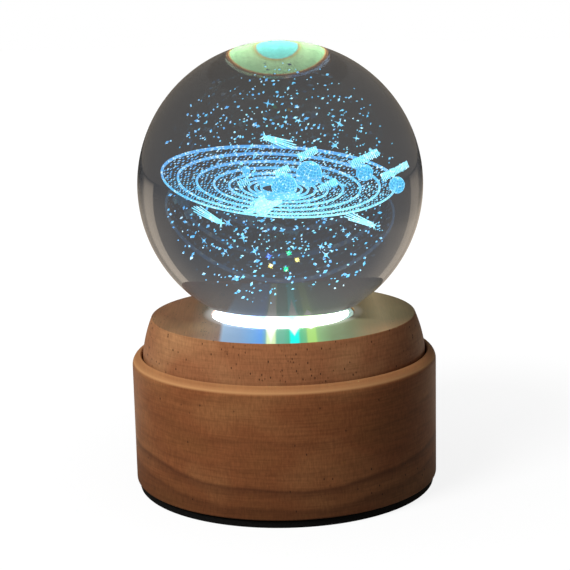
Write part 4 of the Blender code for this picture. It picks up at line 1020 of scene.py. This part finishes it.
    def hatched_bars(self) -> Shape:
        """Plain bars of upright strokes that slant up to the right beside the planets."""
        places = []
        wide, deep, tall = self.stroke
        for place, length in self.bars:
            run = length * self.bar_fill
            count = round(run / self.stroke_pitch)
            for number in range(count):
                spot = Matrix.Translation((run * ((number + 0.5) / count - 0.5), 0, 0))
                shape = Matrix.Diagonal((wide, deep, tall * self.draw.uniform(0.8, 1.1), 1))
                places.append(placed(place, self.bar_slant) @ spot @ shape)
        return stamp(tapered(), places)

    def burst(self, place: Vector, size: float) -> list[Matrix]:
        """A bright star: a core with three crossing streaks."""
        lean = placed((0, 0, 0), self.draw.uniform(0, 1.5), self.draw.uniform(0, 1.5))
        places = [Matrix.Translation(place) @ Matrix.Scale(size * self.burst_core, 4)]
        for axis in ((1, 0, 0), (0, 1, 0), (0, 0, 1)):
            point = lean @ Vector(axis) * size
            places.append(between(place - point, place + point, size * self.burst_line))
        return places

    def comet_trails(self) -> Shape:
        """Three comets, each a bright head with a narrow bundle of tails."""
        heads, tails = [], []
        for head, tail in self.comets:
            start, end = Vector(head), Vector(tail)
            run = (end - start).normalized()
            for ahead, size in self.comet_heads:
                heads += self.burst(start + run * ahead, size)
            across = run.cross(Vector((0, 1, 0))).normalized()
            for share in self.tails:
                spread = across * (self.tail_spread * share + self.draw.uniform(-0.08, 0.08))
                first = start + run * self.draw.uniform(0.2, 0.9) + spread * 0.45
                last = end + spread - run * (abs(share - 0.2) * 1.3 + self.draw.uniform(0.0, 1.2))
                tails.append(between(last, first, self.tail_line))
        return stamp(crumb(), heads, stamp(tapered(), tails))

    def painted_glints(self, places: Sequence[Point]) -> Shape:
        """Painted glints: coloured spots of one diode's light low in the ball."""
        bursts = [spot for place in places for spot in self.burst(Vector(place), self.glint_burst)]
        cores = [Matrix.Translation(place) @ Matrix.Scale(self.glint_core, 4) for place in places]
        return stamp(crumb(), bursts + cores)

    def stars(self) -> Shape:
        """Single marks scattered through the ball, and a few large stars among them."""
        places = []
        least, spread, rarity = self.star_size
        normal = Vector(self.tilt).normalized()
        while len(places) < self.star_count:
            spot = Vector([self.draw.uniform(-1, 1) for _ in range(3)]) * self.cloud_radius
            if spot.length > self.cloud_radius or abs(spot.dot(normal)) < self.plane_gap:
                continue
            size = least + spread * self.draw.random() ** rarity
            shape = Matrix.Diagonal((size * self.draw.uniform(1.0, 2.2), size, size, 1))
            places.append(placed(spot, self.draw.uniform(-1.3, 0.2)) @ shape)
        for across, height in self.bursts:
            spot = Vector((across, self.draw.uniform(-4, 4), height))
            places += self.burst(spot, self.draw.uniform(0.7, 1.2))
        return stamp(crumb(), places)


@dataclass
class LightPlate:
    """The frosted plate that carries the ball and spreads the light."""

    radius: float = 20.1
    bottom: float = 47.3
    top: float = 48.7
    edge: float = 0.2

    def build(self) -> None:
        """Cuts the plate with a small rounding on both edges."""
        bm = disc(self.radius, self.bottom, self.top, self.edge)
        material = FrostedAcrylic("acrylic_sheet_frosted").build()
        to_piece("light_plate", bm, [material], Body.TURNTABLE, ["seat_disc"])


@dataclass
class TurnedStage:
    """The tapered wooden stage that turns under the ball."""

    foot_radius: float = 40.319
    top_radius: float = 37.519
    bottom: float = 35.2
    top: float = 49.1
    straight: float = 3.6
    belly: float = 0.4
    recess_radius: float = 20.4
    recess_floor: float = 47.0
    hole_radius: float = 6.3
    pocket_radius: float = 30.6
    pocket_top: float = 41.2
    edge: float = 0.3
    recess_edge: float = 0.12
    steps: int = 12

    def build(self) -> None:
        """Turns the stage and rounds its edges."""
        foot = self.bottom + self.straight
        side = []
        for step in range(self.steps + 1):
            share = step / self.steps
            radius = self.foot_radius + (self.top_radius - self.foot_radius) * share
            side.append((radius + 4 * self.belly * share * (1 - share), foot + (self.top - foot) * share))
        bm = spun([(self.pocket_radius, self.bottom), (self.foot_radius, self.bottom), *side,
                   (self.recess_radius, self.top), (self.recess_radius, self.recess_floor),
                   (self.hole_radius, self.recess_floor), (self.hole_radius, self.pocket_top),
                   (self.pocket_radius, self.pocket_top)])
        round_rings(bm, [
            (self.top_radius, self.top, self.edge), (self.recess_radius, self.top, self.recess_edge),
            (self.foot_radius, self.bottom, self.edge)])
        material = LitBeech("beech_turned_lacquered_stage", pale="#b6865c", deep="#9e6a46", red="#9b6442",
                            ring_levels=((36.0, 0.25), (44.0, 0.3)), fleck_share=0.8).build()
        to_piece("stage_turned_wood", bm, [material], Body.TURNTABLE, ["wood_stage"])


@dataclass
class TurnedBody:
    """The turned wooden drum that holds the drive, with the slot for the ports at its back."""

    radius: float = 43.4185
    bottom: float = 2.3
    rim_top: float = 38.7
    rim_round: float = 3.0
    rim_arc: float = 70.0
    rim_steps: int = 10
    mouth_radius: float = 40.819
    mouth_floor: float = 34.4
    mouth_chamfer: float = 0.4
    cavity_radius: float = 33.319
    counterbore_radius: float = 38.819
    ledge: float = 5.6
    foot_edge: float = 0.5
    mouth_edge: float = 0.25
    slot_gap: float = 0.3
    slot_reach: tuple = (28.0, 48.0)

    def build(self) -> None:
        """Turns the drum, rounds its rim and cuts the slot."""
        arc = []
        for step in range(self.rim_steps + 1):
            angle = math.radians(self.rim_arc * step / self.rim_steps)
            arc.append((self.radius - self.rim_round + self.rim_round * math.cos(angle),
                        self.rim_top - self.rim_round + self.rim_round * math.sin(angle)))
        mouth = self.mouth_radius + self.mouth_chamfer
        bm = spun([(self.counterbore_radius, self.bottom), (self.radius, self.bottom), *arc,
                   (mouth, self.rim_top), (self.mouth_radius, self.rim_top - self.mouth_chamfer),
                   (self.mouth_radius, self.mouth_floor), (self.cavity_radius, self.mouth_floor),
                   (self.cavity_radius, self.ledge), (self.counterbore_radius, self.ledge)])
        round_rings(bm, [(self.radius, self.bottom, self.foot_edge), (mouth, self.rim_top, self.mouth_edge)])
        # The drum gets a painted highlight along its rim and painted shade towards its bottom.
        material = StainedBeech("beech_turned_lacquered_body", highlight_levels=(
            (36.5, 0.0), (37.05, 1.0), (37.5, 0.6), (38.2, 0.3), (38.6, 0.5)), bottom_shade=(0.0, 14.0)).build()
        piece = to_piece("body_turned_wood", bm, [material], Body.BASE, ["wood_body"])
        low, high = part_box("port_bezel")
        inner, outer = self.slot_reach
        gaps = 2 * self.slot_gap * MM
        slot = bmesh.new()
        bmesh.ops.create_cube(slot, size=1.0)
        bmesh.ops.scale(slot, verts=slot.verts, vec=(
            (high.x - low.x) + gaps, (outer - inner) * MM, (high.z - low.z) + gaps))
        bmesh.ops.translate(slot, verts=slot.verts, vec=(
            0, (outer + inner) / 2 * MM, (high.z + low.z) / 2))
        cut_out(piece, slot)


def cut_out(piece: bpy.types.Object, tool: Shape) -> None:
    """Takes a shape out of a piece and applies the cut to its mesh.

    Args:
        piece: The piece.
        tool: The shape that comes out, in metres. It is freed.
    """
    cutter = put("cutter", to_mesh("cutter", tool))
    step = piece.modifiers.new("slot", "BOOLEAN")
    step.operation = "DIFFERENCE"
    step.solver = "EXACT"
    step.object = cutter
    done = piece.evaluated_get(bpy.context.evaluated_depsgraph_get())
    old = piece.data
    piece.data = bpy.data.meshes.new_from_object(done)
    piece.modifiers.clear()
    bpy.data.objects.remove(cutter)
    bpy.data.meshes.remove(old)


@dataclass
class FootPad:
    """The black rubber pad under the drum."""

    radius: float = 42.569
    thickness: float = 2.0
    edge: float = 0.3

    def build(self) -> None:
        """Cuts the pad with slightly rounded edges."""
        bm = disc(self.radius, 0.0, self.thickness, self.edge)
        material = FoamRubber("foam_rubber_black").build()
        to_piece("foot_pad_rubber", bm, [material], Body.BASE, ["foot_pad"])


class Fittings:
    """The CAD nodes that stay as they are and get their real finishes."""

    finishes = {
        "nylon": MouldedPlastic("nylon_moulded", "#dcdad2", 0.45),
        "black_plastic": MouldedPlastic("abs_moulded_black", "#26282a", 0.5),
        "grey_plastic": MouldedPlastic("abs_moulded_grey", "#6c6d70", 0.5),
        "button_plastic": MouldedPlastic("abs_moulded_button", "#6c6d70", 0.35),
        "white_plastic": MouldedPlastic("resin_moulded_white", "#e8e8e4", 0.3),
        "board_laminate": SolderMask("solder_mask_on_laminate"),
        "blue_lens": DiodeLens("diode_resin_blue", "#3f7dff", (-2.1, -1.9, 46.1)),
        "green_lens": DiodeLens("diode_resin_green", "#59ff93", (2.1, -1.9, 46.1)),
        "white_lens": DiodeLens("diode_resin_white", "#fff6e6", (-2.1, 1.9, 46.1)),
        "yellow_lens": DiodeLens("diode_resin_yellow", "#ffe67a", (2.1, 1.9, 46.1)),
        "motor_steel": Metal("steel_drawn_plated", "#b9bbbf", 0.28),
        "cast_zinc": Metal("zinc_die_cast", "#a5a6a9", 0.5, (0.4, 0.4, 0.4)),
        "pinion_brass": Metal("brass_turned", "#cfa65a", 0.3, (0.1, 0.1, 3.0)),
        "cell_foil": Metal("aluminium_foil_laminated", "#c4c6ca", 0.4, (1.5, 1.5, 1.5)),
        "socket_steel": Metal("steel_sheet_plated", "#c2c3c6", 0.25, (0.2, 4.0, 0.2)),
        "white_lead": MouldedPlastic("pvc_extruded_white", "#e0e0dc", 0.4),
        "black_lead": MouldedPlastic("pvc_extruded_black", "#1c1c1c", 0.4),
        "red_lead": MouldedPlastic("pvc_extruded_red", "#b02020", 0.4),
        "screw_steel": Metal("steel_zinc_plated", "#b4b6ba", 0.32, (0.15, 0.15, 0.15)),
    }

    def build(self) -> None:
        """Gives each remaining node the material of its slot."""
        built = {slot: finish.build() for slot, finish in self.finishes.items()}
        for row in frame["record"]["subparts"]:
            material = built.get(row["material_slot"])
            if material:
                dressed = frame["nodes"][row["node"]].data.materials
                dressed.clear()
                dressed.append(material)
                log.info("%s: dressed as %s", row["node"], material.name)


@dataclass
class Studio:
    """The pale floor, the soft light and the camera."""

    camera_place: Point = (0.0, -413.66, 141.75)
    pitch: float = 0.2022
    yaw: float = 0.0017
    roll: float = -0.0228
    lens: float = 93.64
    floor_radius: float = 3000.0
    floor_level: float = -0.02
    lamp_place: Point = (-370, -400, 590)
    lamp_aim: Point = (0, 0, 45)
    lamp_size: float = 320.0
    lamp_power: float = 6.6
    dim: float = 0.2
    even: float = 0.14

    def build(self) -> None:
        """Builds the floor, the world, the lamp and the camera."""
        self.build_floor()
        self.build_world()
        self.build_lamp()
        self.build_camera()

    def build_floor(self) -> None:
        """A large round of white table under the object."""
        bm = bmesh.new()
        bmesh.ops.create_circle(bm, cap_ends=True, segments=96, radius=self.floor_radius * MM)
        floor = put("floor", to_mesh("floor", bm))
        floor.location.z = self.floor_level * MM
        floor.data.materials.append(WhiteTable("white_table").build())

    def build_world(self) -> None:
        """White behind the object, dim overhead for what the glass mirrors, and a low even light."""
        world = bpy.data.worlds.new("studio")
        bpy.context.scene.world = world
        world.use_nodes = True
        world.node_tree.nodes.clear()
        add = partial(add_node, world.node_tree)
        rays = add("LightPath").outputs
        shows, mirrored = ray_uses(add, rays)
        mirror = add("Math", (rays["Is Glossy Ray"], self.dim), "MULTIPLY")
        even = add("Math", (rays["Is Diffuse Ray"], self.even), "MULTIPLY")
        dark = add("Math", (mirror, even), "MAXIMUM")
        level = add("Math", (shows, dark), "MAXIMUM")
        tone = add("MixRGB", (mirrored, "#ffffff", ROOM_TONE))
        add("OutputWorld", {"Surface": add("Background", (tone, level))})

    def build_lamp(self) -> None:
        """A large soft lamp that faces the object and that the glass doesn't mirror."""
        lamp = bpy.data.lights.new("key", "AREA")
        lamp.shape = "DISK"
        lamp.size = self.lamp_size * MM
        lamp.energy = self.lamp_power
        key = put("key", lamp)
        key.location = Vector(self.lamp_place) * MM
        key.rotation_euler = (Vector(self.lamp_aim) * MM - key.location).to_track_quat("-Z", "Y").to_euler()
        key.visible_glossy = False

    def build_camera(self) -> None:
        """The camera at the photograph's viewing angle."""
        data = bpy.data.cameras.new("camera")
        data.lens = self.lens
        data.sensor_width = 36.0
        data.clip_start = 0.01
        data.clip_end = 50.0
        camera = put("camera", data)
        flat = math.cos(self.pitch)
        ahead = Vector((math.sin(self.yaw) * flat, math.cos(self.yaw) * flat, -math.sin(self.pitch)))
        turn = ahead.to_track_quat("-Z", "Y").to_matrix().to_4x4() @ Matrix.Rotation(self.roll, 4, "Z")
        camera.matrix_world = Matrix.Translation(Vector(self.camera_place) * MM) @ turn
        bpy.context.scene.camera = camera


def main() -> None:
    """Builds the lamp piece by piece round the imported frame."""
    logging.basicConfig(level=logging.INFO, format="%(message)s")
    bpy.context.scene.view_settings.view_transform = "Standard"
    for part in (Studio, CrystalBall, OrbitPicture, LightPlate, TurnedStage, TurnedBody, FootPad, Fittings):
        part().build()


if __name__ == "__main__":
    main()
